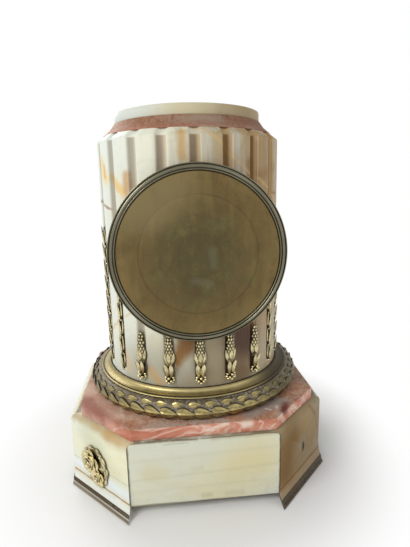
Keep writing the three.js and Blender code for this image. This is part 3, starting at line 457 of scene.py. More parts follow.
def turnedMesh(profile, steps=144, closed=True, edge=0.0):  # profile of (radius, height), round Z
    mesh = bmesh.new()
    outline = line(mesh, [(radius, 0, height) for radius, height in profile], closed)
    bmesh.ops.spin(mesh, geom=outline, axis=(0, 0, 1), angle=tau, steps=steps, use_merge=True)
    bmesh.ops.remove_doubles(mesh, verts=mesh.verts, dist=1e-6)
    bmesh.ops.recalc_face_normals(mesh, faces=mesh.faces)
    if edge:
        soften(mesh, edge)
    return mesh


def ontoDrum(mesh):  # from round Z to round the dial's axis, its top towards +Y
    return moveMesh(mesh, Matrix.Translation((0, 0, clock["dialHeight"])) @ about("X", -90))


def copies(mesh, places=(Matrix(),), whole=None):  # the same shape at each of those places, as one mesh
    data = bakeMesh(mesh)
    if whole is None:
        whole = bmesh.new()
    for place in places:
        moved = data.copy()
        moved.transform(place)
        whole.from_mesh(moved)
        bpy.data.meshes.remove(moved)
    bpy.data.meshes.remove(data)
    return whole


def joinMeshes(*meshes):
    whole = bmesh.new()
    for mesh in meshes:
        copies(mesh, whole=whole)
    return whole


def withPatinaAndShade(mesh, depth):  # how dark the gilt is at each point, 0 to 1, as patina in hollows and painted shade: a number, or a sum on the point
    layer = mesh.verts.layers.float.get("recess") or mesh.verts.layers.float.new("recess")
    for vert in mesh.verts:
        vert[layer] = depth(vert) if callable(depth) else depth
    return mesh


def markHollows(mesh, depth):  # adds how hollow the surface is round each point, darkened as patina and painted shade
    layer = mesh.verts.layers.float["recess"]
    mesh.normal_update()
    hollow = {}
    for vert in mesh.verts:
        near = [edge.other_vert(vert).co for edge in vert.link_edges]
        middle = sum(near, Vector()) / max(len(near), 1)
        hollow[vert] = (middle - vert.co).dot(vert.normal) / depth
    for _ in range(2):
        hollow = {vert: (value + max(hollow[edge.other_vert(vert)] for edge in vert.link_edges)) / 2
                  if vert.link_edges else value for vert, value in hollow.items()}
    return withPatinaAndShade(mesh, lambda vert: min(1.0, max(vert[layer], hollow[vert])))


def cadCopy(node, edge=0.0003, segments=2, sharpest=30):  # a merged copy of a CAD node, edges rounded
    mesh = bmesh.new()
    mesh.from_mesh(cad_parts[node].data)
    bmesh.ops.remove_doubles(mesh, verts=mesh.verts, dist=1e-6)
    bmesh.ops.dissolve_limit(mesh, angle_limit=radians(1), verts=mesh.verts, edges=mesh.edges)
    soften(mesh, edge, segments, sharpest)
    return mesh


def piece(name, mesh, finish, stands=(), sharp=40, body="case"):
    shape = addObject(name, bakeMesh(mesh, name))
    shape.data.materials.append(finishes[finish])
    shape.data.shade_smooth()
    shape.data.set_sharp_from_angle(angle=radians(sharp))
    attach(shape, body)
    if stands:
        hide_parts(*stands)
    return shape


def repaint(finish, *nodes):
    for node in nodes:
        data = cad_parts[node].data
        data.materials.clear()
        data.materials.append(finishes[finish])


# Plinth: panels, canted blocks, foot strips and slab keep the frame's shapes, with worn edges.
# Stains, and the painted shade marked among them, lie by (along, height) on a face, and by (x, y) on the slab
plinth = {"edge": 0.0005, "stripEdge": 0.0003, "slabEdge": 0.0006, "panelFace": 0.0982, "cantFace": 0.1094,
          "corners": {"back_left": 45, "front_left": -45, "front_right": -135, "back_right": 135},
          "seams": (0.0563, 0.008, 0.059), "seamShade": (78, 62, 40)}
panelStains = [
    (0.05, 0.05, -0.02, 0.052, 0.04, (210, 213, 198), 0.7),
    (-0.037, 0.037, -0.027, 0.035, 0.018, (214, 200, 144), 0.7),
    (-0.045, 0.05, -0.01, 0.018, 0.03, (228, 220, 176), 0.5),
    (0.041, 0.034, 0.034, 0.032, 0.008, (214, 206, 164), 0.6),
    (0.0095, 0.035, 0.003, 0.035, 0.0025, (196, 194, 164), 0.3),
    (0.002, 0.0115, -0.003, 0.0115, 0.0024, (160, 148, 116), 0.25),
    (-0.016, 0.0112, -0.027, 0.012, 0.0024, (170, 156, 124), 0.2),
    # darker along the panel's top edge
    (0.056, 0.0595, 0.006, 0.0592, 0.0014, (132, 118, 84), 0.5),
    (0.03, 0.0565, 0.012, 0.0568, 0.0006, (84, 74, 56), 0.25),
    (-0.006, 0.0592, -0.054, 0.0595, 0.0024, (166, 152, 114), 0.45)]
leftStains = [
    (-0.03, 0.04, 0.03, 0.042, 0.02, (232, 230, 190), 0.6),
    (-0.036, 0.0595, 0.008, 0.0595, 0.006, (182, 156, 108), 0.85),
    (0.0, 0.033, 0.012, 0.028, 0.011, (214, 206, 168), 0.5),
    (-0.02, 0.048, -0.005, 0.043, 0.012, (200, 202, 176), 0.6),
    (0.008, 0.0585, 0.038, 0.0605, 0.0078, (192, 160, 106), 0.85)]
rightStainsAndShade = [
    # a broad tan over the whole block: partly the stone's colour, partly painted shade on the side away from the
    # light
    (-0.045, 0.032, 0.045, 0.032, 0.06, (128, 94, 40), 0.86),
    (-0.012, 0.045, -0.02, 0.022, 0.016, (120, 84, 42), 0.6),
    (0.012, 0.05, 0.022, 0.04, 0.012, (164, 138, 94), 0.6),
    (0.016, 0.062, 0.03, 0.046, 0.0017, (112, 78, 40), 0.4),
    (0.03, 0.046, 0.0345, 0.031, 0.0016, (120, 86, 48), 0.35),
    (0.03, 0.045, 0.012, 0.034, 0.0016, (124, 92, 46), 0.2),
    (0.009, 0.0205, 0.0085, 0.032, 0.0085, (148, 136, 106), 0.55),
    # the empty pin hole, a dark spot of painted shade
    (0.0088, 0.024, 0.0088, 0.0285, 0.0024, (44, 38, 28), 0.9)]
slabStains = [
    (-0.066, 0.0755, -0.0625, 0.0862, 0.0042, (104, 40, 28), 0.9),
    (0.0905, 0.05, 0.078, 0.072, 0.011, (128, 64, 46), 0.8),
    (0.072, 0.082, 0.05, 0.092, 0.006, (150, 96, 74), 0.6),
    (-0.035, 0.088, -0.062, 0.071, 0.0075, (150, 142, 136), 0.75),
    (-0.049, 0.0815, -0.0525, 0.0835, 0.0009, (230, 222, 214), 0.6),
    (-0.0585, 0.079, -0.0575, 0.0815, 0.0012, (224, 216, 208), 0.5)]


def onCant(corner):
    place = about("Z", plinth["corners"][corner])
    return lambda along, height: tuple(place @ Vector((plinth["cantFace"], along, height)))


def layered(height, paint, strength, width, lean=0.0):  # a vein that runs level through every block
    return (lean, -lean, 1.0), height, width, paint, strength


across, low, high = plinth["seams"]
# painted shade along the joints between the panels and the blocks
seams = [((x, y, low), (x, y, high), 0.0009, plinth["seamShade"], 0.85)
         for x in (-across, across) for y in (-plinth["panelFace"], plinth["panelFace"])]
finishes["panelOnyx"] = onyxFinish(
    "panel onyx", (0.7, 0.2, 0.4), bedding=0.45, straw=0.12, wander=0.002,
    spots=spotsOn(lambda x, z: (x, plinth["panelFace"], z), panelStains) + seams,
    # dark lines along the panels' top and bottom edges
    veins=[layered(0.0594, (88, 72, 48), 0.75, 0.001), layered(0.0074, (98, 86, 62), 0.7, 0.001),
           ((0.04, 0.0, 1.0), 0.046, 0.003, (200, 197, 168), 0.25),
           ((0.05, 0.0, 1.0), 0.031, 0.0022, (196, 190, 158), 0.25),
           ((0.03, 0.0, 1.0), 0.02, 0.002, (198, 193, 160), 0.2)])
finishes["leftOnyx"] = onyxFinish(
    "left block onyx", (0.1, 0.6, 0.3), bedding=0.35, straw=0.25, wander=0.0015,
    spots=spotsOn(onCant("back_left"), leftStains),
    veins=[layered(0.0165, (230, 238, 240), 0.85, 0.0062), layered(0.0102, (166, 118, 66), 0.95, 0.0011),
           layered(0.0062, (234, 238, 236), 0.7, 0.003), layered(0.0236, (184, 190, 168), 0.7, 0.0008, 0.04)])
finishes["rightOnyx"] = onyxFinish(
    "right block onyx", (0.5, 0.3, 0.7), bedding=0.6, wander=0.0015, gloss=0.02,
    spots=spotsOn(onCant("back_right"), rightStainsAndShade),
    veins=[layered(0.0102, (140, 90, 44), 0.9, 0.0012), layered(0.0066, (176, 150, 118), 0.6, 0.003)])
finishes["marbleSlab"] = marbleFinish("slab marble", 0.0686, 0.0004, spots=[
    ((0.0907, 0.075, 0.0645), (0.113, 0.045, 0.0645), 0.028, (242, 214, 198), 0.55),
    ((-0.0305, 0.0958, 0.0665), (-0.0335, 0.0958, 0.0665), 0.0035, (240, 226, 206), 0.8)]
    + spotsOn(lambda x, y: (x, y, clock["slabTop"] + 0.0001), slabStains))

for side in ("back", "left", "front", "right"):
    node = f"plinth_{side}_panel"
    piece(f"panel_{side}", cadCopy(node, plinth["edge"]), "panelOnyx", [node])
for corner in plinth["corners"]:
    node = f"corner_block_{corner}"
    finish = "rightOnyx" if corner == "back_right" else "leftOnyx"
    piece(f"block_{corner}", cadCopy(node, plinth["edge"]), finish, [node], 50)
    node = f"foot_strip_{corner}"
    piece(f"strip_{corner}", cadCopy(node, plinth["stripEdge"]), "darkBronze", [node])
piece("slab", cadCopy("marble_slab", plinth["slabEdge"]), "marbleSlab", ["marble_slab"])
print("plinth ready")

# Column: one flute and the land beside it are turned twenty times and drawn up
column = {"radius": 0.075, "bore": 0.060, "flutes": 20, "fluteWidth": 0.009, "fluteDepth": 0.0022,
          "fluteFoot": 0.0925, "fluteEnd": 0.003, "chamferWidth": 0.0055, "chamferHeight": 0.0045,
          "opening": 0.058, "arris": 0.00035}
columnStainsAndShade = [
    # broad drifts: tan towards the right, partly the stone's colour and partly painted shade on the side away from
    # the light; greenish white to the left; painted shade low down, grey and brownish from the base ring up towards
    # the cover
    ((-0.15, 0.045, 0.05), (-0.15, 0.045, 0.32), 0.14, (126, 92, 42), 0.6),
    ((0.095, 0.055, 0.12), (0.095, 0.055, 0.28), 0.066, (212, 220, 213), 0.85),
    ((0.0385, 0.0643, 0.093), (-0.0112, 0.0742, 0.096), 0.036, (166, 163, 142), 0.95),
    ((0.01, 0.074, 0.087), (-0.03, 0.07, 0.088), 0.014, (140, 126, 100), 0.7),
    ((-0.0118, 0.0741, 0.115), (-0.0118, 0.0741, 0.1), 0.017, (146, 130, 98), 0.8),
    # honey and rust, a dark red-brown patch under the cover and streaks beside and above it
    ((0.0183, 0.0727, 0.1095), (0.0095, 0.0745, 0.1235), 0.0066, (128, 86, 6), 1.0),
    ((0.0095, 0.0745, 0.1215), (0.006, 0.0747, 0.127), 0.0095, (118, 74, 0), 1.0),
    ((-0.0345, 0.066, 0.112), (-0.0325, 0.0676, 0.098), 0.0135, (112, 82, 44), 0.9),
    ((-0.0317, 0.068, 0.134), (-0.0345, 0.066, 0.123), 0.0165, (62, 26, 0), 1.0),
    ((-0.0317, 0.068, 0.136), (-0.0345, 0.066, 0.125), 0.013, (66, 26, 0), 1.0),
    ((0.0575, 0.0485, 0.109), (0.0555, 0.0505, 0.096), 0.0045, (206, 174, 136), 0.6),
    ((0.0375, 0.065, 0.0985), (0.0315, 0.068, 0.0905), 0.0048, (190, 152, 96), 0.75),
    ((0.061, 0.044, 0.2455), (0.0517, 0.0543, 0.2344), 0.0042, (226, 190, 112), 0.85),
    ((0.0487, 0.057, 0.247), (0.0486, 0.0571, 0.233), 0.0042, (192, 148, 88), 0.8),
    ((0.0694, 0.0285, 0.2581), (0.0662, 0.0353, 0.246), 0.0062, (226, 198, 112), 0.75),
    ((0.0665, 0.0347, 0.2547), (0.0662, 0.0353, 0.2465), 0.0016, (210, 140, 66), 0.8),
    ((0.0734, 0.0155, 0.2285), (0.0654, 0.0366, 0.2232), 0.0015, (132, 92, 62), 0.85),
    ((0.0654, 0.0366, 0.2232), (0.0618, 0.0426, 0.2222), 0.0012, (140, 100, 70), 0.75),
    ((-0.0425, 0.0618, 0.2425), (-0.0645, 0.0385, 0.2515), 0.005, (140, 98, 46), 0.7),
    ((-0.0412, 0.0626, 0.2535), (-0.043, 0.0615, 0.241), 0.005, (128, 90, 44), 0.75),
    ((-0.0579, 0.0477, 0.2319), (-0.0677, 0.0324, 0.2315), 0.0016, (124, 62, 36), 0.8),
    ((0.009, 0.0745, 0.2775), (0.0084, 0.0745, 0.2585), 0.0042, (190, 152, 88), 0.75),
    ((-0.0125, 0.074, 0.276), (-0.014, 0.0737, 0.262), 0.003, (178, 160, 112), 0.5)]
finishes["columnOnyx"] = onyxFinish(
    "column onyx", fluted=True, straw=0.45, wander=0.014, gloss=0.05, spots=columnStainsAndShade,
    veins=[((0.5, -0.3, 0.85), 0.13, 0.0016, (202, 168, 108), 0.6),
           ((-0.4, -0.5, 0.8), 0.186, 0.002, (206, 172, 112), 0.6)])


def levelEdges(mesh, height):
    return [edge for edge in mesh.edges if all(abs(vert.co.z - height) < 1e-6 for vert in edge.verts)]


def drawnVerts(mesh, edges):  # the new points of those edges, drawn on
    drawn = bmesh.ops.extrude_edge_only(mesh, edges=edges)["geom"]
    return [vert for vert in drawn if isinstance(vert, bmesh.types.BMVert)]


def ringOn(mesh, level, height, newReach):  # draws the edges at one level on to another height and reach
    for vert in drawnVerts(mesh, levelEdges(mesh, level)):
        scale = newReach(vert.co.xy.length) / vert.co.xy.length
        vert.co = (vert.co.x * scale, vert.co.y * scale, height)


def columnMesh():
    mesh = bmesh.new()
    low, high = clock["slabTop"], clock["columnTop"]
    radius, depth = column["radius"], column["fluteDepth"]
    half = column["fluteWidth"] / 2 / radius
    pitch = tau / column["flutes"]
    outline = []
    for step in range(-7, 8):
        share = step / 7
        reach = radius - depth * (1 - abs(share) ** 2.3)
        outline.append((reach * cos(pi / 2 + share * half), reach * sin(pi / 2 + share * half), low))
    for step in range(1, 6):
        angle = pi / 2 + half + (pitch - 2 * half) * step / 5
        outline.append((radius * cos(angle), radius * sin(angle), low))
    flute = line(mesh, outline)
    bmesh.ops.spin(mesh, geom=flute, axis=(0, 0, 1), angle=tau, steps=column["flutes"], use_duplicate=True)
    bmesh.ops.remove_doubles(mesh, verts=mesh.verts, dist=1e-5)
    foot, neck = column["fluteFoot"] + column["fluteEnd"], high - column["chamferHeight"]
    bmesh.ops.translate(mesh, vec=(0, 0, neck - low), verts=drawnVerts(mesh, mesh.edges[:]))
    bmesh.ops.recalc_face_normals(mesh, faces=mesh.faces)
    soften(mesh, column["arris"], 2, 22)
    bmesh.ops.translate(mesh, vec=(0, 0, foot - low), verts=[v for v in mesh.verts if v.co.z < low + 0.001])
    level = foot
    for share in (1 / 3, 2 / 3, 1):  # the flutes run out just above their foot
        height = foot - column["fluteEnd"] * share
        ringOn(mesh, level, height, lambda reach: reach + (radius - reach) * share)
        level = height
    ringOn(mesh, level, low, lambda reach: radius)
    ringOn(mesh, neck, high, lambda reach: reach - column["chamferWidth"])  # and on through the chamfer
    for level in (low, high):
        rim = levelEdges(mesh, level)
        bore = bmesh.ops.create_circle(mesh, radius=column["bore"], segments=120,
                                       matrix=Matrix.Translation((0, 0, level)))["verts"]
        inner = list({edge for vert in bore for edge in vert.link_edges})
        bmesh.ops.bridge_loops(mesh, edges=rim + inner)
    bmesh.ops.bridge_loops(mesh, edges=[edge for edge in mesh.edges if edge.is_boundary])
    bmesh.ops.recalc_face_normals(mesh, faces=mesh.faces)
    return mesh


shaft = piece("column", columnMesh(), "columnOnyx", ["column_shaft"], 28)
opening = [(0, -0.08), (column["opening"], -0.08), (column["opening"], 0.08), (0, 0.08)]
cutter = addObject("cutter", bakeMesh(ontoDrum(turnedMesh(opening, 128, closed=False))))
axis = Vector((0, 0, clock["dialHeight"]))
for attempt in range(8):  # the drum's openings are cut for good, and again if one was left closed
    cut = shaft.modifiers.new("cut", "BOOLEAN")
    cut.operation, cut.solver, cut.object = "DIFFERENCE", "EXACT", cutter
    carved = settledMesh(shaft)
    shaft.modifiers.clear()
    if min((face.center - axis).xz.length for face in carved.polygons) > column["opening"] - 0.004:
        break
else:
    raise RuntimeError("an opening of the column is still closed")
shaft.data = carved
bpy.data.objects.remove(cutter)

# Marble ring in two slopes and the onyx disc on top
crown = {"foot": 0.0695, "shoulder": 0.0648, "shoulderRise": 0.0044, "neck": 0.0608, "rise": 0.0096,
         "disc": 0.0598, "discRise": 0.008}
finishes["marbleRing"] = marbleFinish(
    "ring marble", 0.2745, 0.0085, (0.4, 0.2, 0.1), dusty=0.95, pale=0.15,
    spots=[((0, 0, 0.28), None, 0.2, (134, 84, 64), 0.5),
            # darker brown towards -X: partly the stone's colour, partly painted shade on the side away from the
            # light
            ((-0.13, 0.03, 0.285), None, 0.11, (104, 66, 46), 0.9),
            ((0.01, 0.065, 0.2855), (-0.02, 0.062, 0.2855), 0.0045, (160, 146, 128), 0.6)])
finishes["discOnyx"] = onyxFinish(
    "disc onyx", (0.3, 0.1, 0.2),
    # tan towards -X: partly the stone's colour, partly painted shade on the side away from the light
    spots=[((-0.13, 0.045, 0.292), None, 0.18, (146, 116, 68), 0.94),
            ((0.07, 0.05, 0.292), None, 0.055, (204, 214, 210), 0.85),
            ((0.004, 0.06, 0.292), None, 0.02, (206, 198, 160), 0.6)])
base = clock["columnTop"]
shoulder, rise = crown["shoulder"], base + crown["shoulderRise"]
ring = turnedMesh([(0, base), (crown["foot"], base), (crown["foot"], base + 0.0004),
                   (shoulder + 0.0002, rise - 0.0002), (shoulder - 0.0006, rise + 0.0004),
                   (crown["neck"], base + crown["rise"]), (0, base + crown["rise"])], 180, False, 0.0004)
piece("marbleBand", ring, "marbleRing", ["marble_ring"], 28)
base += crown["rise"]
disc = turnedMesh([(0, base), (crown["disc"], base), (crown["disc"], base + crown["discRise"]),
                   (0, base + crown["discRise"])], 180, False, 0.0009)
piece("topDisc", disc, "discOnyx", ["top_disc"], 35)
print("column ready")


def arc(middle, radius, start, end, steps):  # points of an arc, angles in degrees
    points = (polar(radius, start + (end - start) * step / steps) for step in range(steps + 1))
    return [(middle[0] + across, middle[1] + up) for across, up in points]


# Base ring: wall, bead and satin cove
foot = {"inner": 0.0753, "wall": 0.079, "lip": 0.0846, "lipTop": 0.0841, "top": 0.0879, "neck": 0.0768,
        "bead": 0.0006, "groove": 0.0018}
lip, lipTop, bead = foot["lip"], foot["lipTop"], foot["bead"]
profile = [(foot["inner"], clock["slabTop"]), (foot["wall"], clock["slabTop"]),
           (foot["wall"], lipTop - 2 * bead), (lip - bead, lipTop - 2 * bead)]
profile += arc((lip - bead, lipTop - bead), bead, -90, 90, 6) + [(lip - foot["groove"], lipTop - 0.0001)]
profile += [(foot["neck"] + (lip - 0.0022 - foot["neck"]) * (1 - sin(radians(angle))),
             lipTop + (foot["top"] - lipTop - 0.0008) * (1 - cos(radians(angle)))) for angle in range(0, 91, 11)]
profile += [(foot["neck"], foot["top"] - 0.0002), (foot["neck"] - 0.0004, foot["top"]), (foot["inner"], foot["top"])]


def collarShade(vert):  # painted shade above the cove beside the column, on the wall under the bead and in the groove behind the bead
    reach = vert.co.xy.length
    if reach < foot["neck"] - 0.0002 or vert.co.z < lipTop - 0.001:
        return 1.0
    return 0.9 if abs(reach - lip + foot["groove"]) < 0.0004 else 0.0


piece("baseRing", withPatinaAndShade(turnedMesh(profile, 180), collarShade), "oldGilt", ["base_ring"], 35)


# Cast leaves and petals are grids, bent and then given their thickness
def gridMesh(columns, rows, bend):  # bend gives a point's new place and how dark it is, as patina and painted shade
    mesh = bmesh.new()
    bmesh.ops.create_grid(mesh, x_segments=columns, y_segments=rows, size=0.5)
    layer = mesh.verts.layers.float.new("recess")
    for vert in mesh.verts:
        vert.co, vert[layer] = bend(vert.co.x, vert.co.y)
    return mesh


def castMesh(mesh, thickness):
    bmesh.ops.recalc_face_normals(mesh, faces=mesh.faces)
    if sum(face.normal.z for face in mesh.faces) < 0:
        bmesh.ops.reverse_faces(mesh, faces=mesh.faces)
    bmesh.ops.solidify(mesh, geom=mesh.faces[:], thickness=thickness)
    return mesh


# A leaf: base at the origin, tip on +X, bulging to +Z, with its rib raised
def leafMesh(length, width, bulge=0.25, curl=0.0, thickness=0.0007, fullness=1.0, belly=0.75, crease=0.0,
             steps=(8, 6)):
    def bend(x, y):
        along, across = x + 0.5, y * 2
        half = width / 2 * (0.04 + 0.96 * max(0.0, sin(pi * along ** belly)) ** fullness)
        dome = (1 - crease) * (1 - across ** 2) + crease * (1 - abs(across))
        height = bulge * width * dome * sin(pi * min(1, along * 0.9 + 0.1)) + curl * along ** 2
        rib = 0.09 * width * max(0.0, 1 - abs(across) * 3) * (1 - along)
        # painted shade at the leaf's base, along its edges and in a band each side of its rib
        depth = max(0.0, 0.9 - along * 4.5, (abs(across) - 0.7) * 3.2, 0.5 - abs(abs(across) - 0.34) * 6)
        return (along * length, across * half, height + rib), depth

    return castMesh(gridMesh(*steps, bend), thickness)


def berryMesh(radius, fine=1):
    mesh = bmesh.new()
    bmesh.ops.create_icosphere(mesh, subdivisions=fine, radius=radius)
    # its back half is painted shade
    return withPatinaAndShade(mesh, lambda vert: max(0.0, -vert.co.z / radius))


# Laurel wreath: broad leaves overlap along the outside of a half-round core, which shows above them
wreath = {"bunches": 45, "centre": 0.0846, "reach": 0.0074, "height": 0.0058, "middle": 0.07585,
          "inner": 0.0793, "rise": 0.0131, "leaf": (0.0172, 0.0104), "sideLeaf": (0.0115, 0.0075),
          "lift": -4, "sideLifts": (27, -38), "splay": 16,
          "shape": {"bulge": 0.13, "crease": 1.0, "curl": -0.0004, "belly": 0.82}}


def wreathPlace(bunch, step, lift, sunk, splay):  # on the tube: X along the wreath, Z outwards
    around = about("Z", 360 * (bunch + step) / wreath["bunches"])
    tube = Matrix.Translation((wreath["centre"], 0, wreath["middle"])) @ about("Y", -lift)
    out = Matrix.Translation((wreath["reach"] - sunk, 0, 0))
    return around @ tube @ out @ outward @ about("Z", splay) @ about("Y", -4)


tube = [polar(1, angle) for angle in range(-90, 91, 10)]
core = turnedMesh([(wreath["inner"], clock["slabTop"])] + [
    (wreath["centre"] + wreath["reach"] * out, wreath["middle"] + (wreath["height"] + 0.001) * up)
    for out, up in tube] + [(wreath["inner"], clock["slabTop"] + wreath["rise"])], 180)
piece("wreathCore", core, "dustyCore", ["laurel_wreath"], 40)
rows = [wreathPlace(bunch, 0.5, wreath["lift"], 0.0011, 0) for bunch in range(wreath["bunches"])]
leaves = copies(leafMesh(*wreath["leaf"], thickness=0.0009, fullness=1.35, **wreath["shape"]), rows)
rows = [wreathPlace(bunch, 0.25, lift, 0.0014, wreath["splay"] if lift > 0 else -wreath["splay"])
        for bunch in range(wreath["bunches"]) for lift in wreath["sideLifts"]]
sides = copies(leafMesh(*wreath["sideLeaf"], thickness=0.0008, fullness=1.2, **wreath["shape"]), rows)
piece("laurelWreath", joinMeshes(leaves, sides), "wreathGilt", ["laurel_wreath"], 24)
print("wreath ready")

# Drops stand in the flutes: the short ones a leaf cup and a cone, the tall ones a chain of husks
drops = {"foot": 0.091, "shortSeat": 0.07516, "tallSeat": 0.07396, "tallHeight": 0.119, "husks": 8,
         "shortBody": ((0, 0.6), (1.3, 1.5), (2.1, 4), (2.6, 9), (2.5, 13), (2.2, 16), (2.2, 18), (2.4, 20),
                       (2.9, 24), (2.85, 29), (2.3, 34), (1.2, 38), (0, 40)),  # in millimetres
         "berries": ((0.0012, 0.0022, (-80, 0, 80)), (0.0031, 0.0033, (-84, -34, 34, 84)),
                     (0.0052, 0.003, (-78, 0, 78))),  # height, reach, angles
         "scaleRows": 7, "scaleFoot": 0.0236, "scalePitch": 0.0024}


def halfTurned(profile, seat, steps=28):  # half-round body against the flute, as the frame has it
    mesh = turnedMesh(profile, steps, closed=False)
    moveMesh(mesh, Matrix.Translation((0, seat, drops["foot"])))
    bmesh.ops.bisect_plane(mesh, geom=mesh.verts[:] + mesh.edges[:] + mesh.faces[:], plane_co=(0, seat, 0),
                           plane_no=(0, 1, 0), clear_inner=True)
    fillHoles(mesh)
    return mesh


def leafOn(seat, height, aside, lean, splay, out=0.0):  # a leaf that rises from there: tip up, face outwards
    stand = Matrix(((0, -1, 0, 0), (0, 0, 1, 0), (1, 0, 0, 0), (0, 0, 0, 1)))
    place = Matrix.Translation((aside, seat + out, drops["foot"] + height))
    return place @ about("Y", splay) @ about("X", -lean) @ stand


def roundSeat(seat, reach, degrees, height, tilt):  # a place round the upright of a drop, turned outwards
    out, aside = polar(reach, degrees)
    return (Matrix.Translation((aside, seat + out, drops["foot"] + height))
            @ about("Z", -degrees) @ about("X", tilt))


def shortDropMesh():
    seat = drops["shortSeat"]
    body = halfTurned([(reach * 0.001, height * 0.001) for reach, height in drops["shortBody"]], seat)
    # painted shade on the body behind the cup, calyx and scales, paler where the stem shows
    withPatinaAndShade(body, lambda vert: 0.25 if 0.0155 < vert.co.z - drops["foot"] < 0.024 else 1.0)
    cup = [leafOn(seat, 0.0042, side * 0.0011, 9, side * 7, 0.0016) for side in (1, -1)]
    cup = copies(leafMesh(0.0134, 0.0044, bulge=0.24, crease=0.3, curl=0.0011, belly=1.25, fullness=0.8,
                          thickness=0.0006), cup)
    calyx = [leafOn(seat, 0.0135, 0.0, 5, 0, 0.0016)]
    calyx += [leafOn(seat, 0.013, side * 0.001, 2, side * 14, 0.0006) for side in (1, -1)]
    calyx = copies(leafMesh(0.0124, 0.004, bulge=0.3, belly=1.15, thickness=0.0005), calyx)
    berries = [roundSeat(seat + 0.0006, reach, angle, height, -60)
               for height, reach, angles in drops["berries"] for angle in angles]
    scales = []
    for row in range(drops["scaleRows"]):
        height = drops["scaleFoot"] + row * drops["scalePitch"]
        reach = 0.0031 * (1 - max(0.0, (row - 2.5) / 5.6) ** 1.7)
        count = 4 if row < 5 else 3
        for step in range(count):
            angle = -90 + 180 * (step + (0.5 if row % 2 else 0.0)) / count
            if abs(angle) < 89:
                scales.append(roundSeat(seat, reach, angle, height, -90))
    boss = bmesh.new()
    bmesh.ops.create_cone(boss, cap_ends=False, segments=4, radius1=0.0019, radius2=0.0004, depth=0.0009)
    bmesh.ops.holes_fill(boss, edges=[edge for edge in boss.edges
                                      if edge.is_boundary and edge.verts[0].co.z > 0])
    moveMesh(boss, Matrix.Diagonal((0.78, 1.15, 1, 1)))
    # painted shade at the foot of each scale
    withPatinaAndShade(boss, lambda vert: 1.0 if vert.co.z < 0 else 0.0)
    return joinMeshes(body, cup, calyx, copies(berryMesh(0.0011, 2), berries), copies(boss, scales))


def tallDropMesh():
    seat, husks = drops["tallSeat"], drops["husks"]
    pitch = (drops["tallHeight"] - 0.005) / husks
    profile = [(0, 0.0004), (0.001, 0.0015)]
    for husk in range(husks):
        base = 0.0025 + pitch * husk
        profile += [(0.0011, base + pitch * 0.1), (0.002, base + pitch * 0.75)]
    profile += [(0, drops["tallHeight"] - 0.0004)]
    # the body behind the husks is painted shade
    body = withPatinaAndShade(halfTurned(profile, seat, 20), 1.0)
    leaves, berries = [], []
    for husk in range(husks):
        base = 0.0015 + pitch * husk
        turn = 7 if husk % 2 else -7
        leaves += [leafOn(seat, base, 0.0, 5, turn * 0.4, 0.0013)]
        leaves += [leafOn(seat, base + 0.001, side * 0.0006, 2, side * 6 + turn * 0.5, 0.0002)
                   for side in (1, -1)]
        if husk < husks - 1:
            berries += [roundSeat(seat, 0.0018, angle, base + pitch * 0.97 + lift, -70)
                        for angle, lift in ((-48, 0.0), (0, 0.0011), (48, 0.0))]
    berries += [roundSeat(seat, 0.0013, angle, 0.0016, -70) for angle in (-50, 0, 50)]
    leaf = leafMesh(pitch * 0.98, 0.0031, bulge=0.28, curl=0.0006, belly=1.1, thickness=0.0005)
    return joinMeshes(body, copies(leaf, leaves), copies(berryMesh(0.00078), berries))


for kind, build in (("short", shortDropMesh), ("tall", tallDropMesh)):
    data = bakeMesh(build())
    for flute in range(column["flutes"]):
        steps = min(flute, column["flutes"] - flute, abs(flute - column["flutes"] // 2))
        if (steps <= 2) == (kind == "short"):  # short ones under the two openings, tall ones beside them
            mesh = bmesh.new()
            mesh.from_mesh(data)
            moveMesh(mesh, about("Z", 360 * flute / column["flutes"]))
            piece(f"{kind}Drop{flute + 1}", mesh, "gilt", [f"{kind}_drop_{flute + 1:02d}"], 50)
    bpy.data.meshes.remove(data)
print("drops ready")

# Rose mounts: a large and a small rose in a close spray of leaves, pinned to a canted block.
# Blooms: across, up, radius, turn. Leaves: across, up, turn, length, width, lift off the stone.
# Petals: count, foot, reach, rise, half spread, turn
rose = {"pinHeight": 0.0257, "aside": 0.010, "pinReach": 0.1097, "hollow": 0.0012,
        "blooms": [(-0.0025, 0.0026, 0.0102, 8), (0.0052, -0.0084, 0.0074, 24)],
        "petals": [(5, 0.3, 0.98, 0.38, 42, 0), (5, 0.24, 0.78, 0.5, 44, 36), (4, 0.18, 0.57, 0.58, 54, 20),
                   (3, 0.08, 0.34, 0.64, 70, 10)],
        "leaves": [(-0.0075, 0.0095, 29, 0.0105, 0.007, 0.0005), (-0.001, 0.0123, -5, 0.0115, 0.007, 0.0003),
                   (0.007, 0.0103, -45, 0.011, 0.0072, 0.0006), (0.0118, 0.0045, -75, 0.0115, 0.0072, 0.0003),
                   (0.013, -0.004, -110, 0.011, 0.0066, 0.0006), (0.0085, -0.011, -108, 0.0068, 0.0056, 0.0003),
                   (0.001, -0.0085, 214, 0.0092, 0.007, 0.0005), (-0.005, -0.0055, 165, 0.0078, 0.0066, 0.0003),
                   (-0.0092, -0.001, 118, 0.0074, 0.006, 0.0006), (-0.0105, 0.0045, 70, 0.008, 0.006, 0.0003),
                   (0.004, 0.0, 12, 0.0105, 0.008, 0.0008)]}


def petalMesh(foot, reach, rise, spread):  # one cupped petal: painted shade at its foot and along its sides, its rim rolled outwards
    def bend(x, y):
        side, up = x * 2, (y + 0.5) * (1 - 0.3 * abs(x * 2) ** 2.4)
        radius = foot + (reach - foot) * up ** 1.3 + 0.1 * reach * up ** 6
        place = (*polar(radius, spread * side), rise * (sin(up * pi / 2) - 0.22 * up ** 6))
        return place, max(0.0, 1.25 - up * 1.5 if up < 0.86 else 0.0, (abs(side) - 0.82) * 4)

    return castMesh(gridMesh(10, 7, bend), 0.0005)


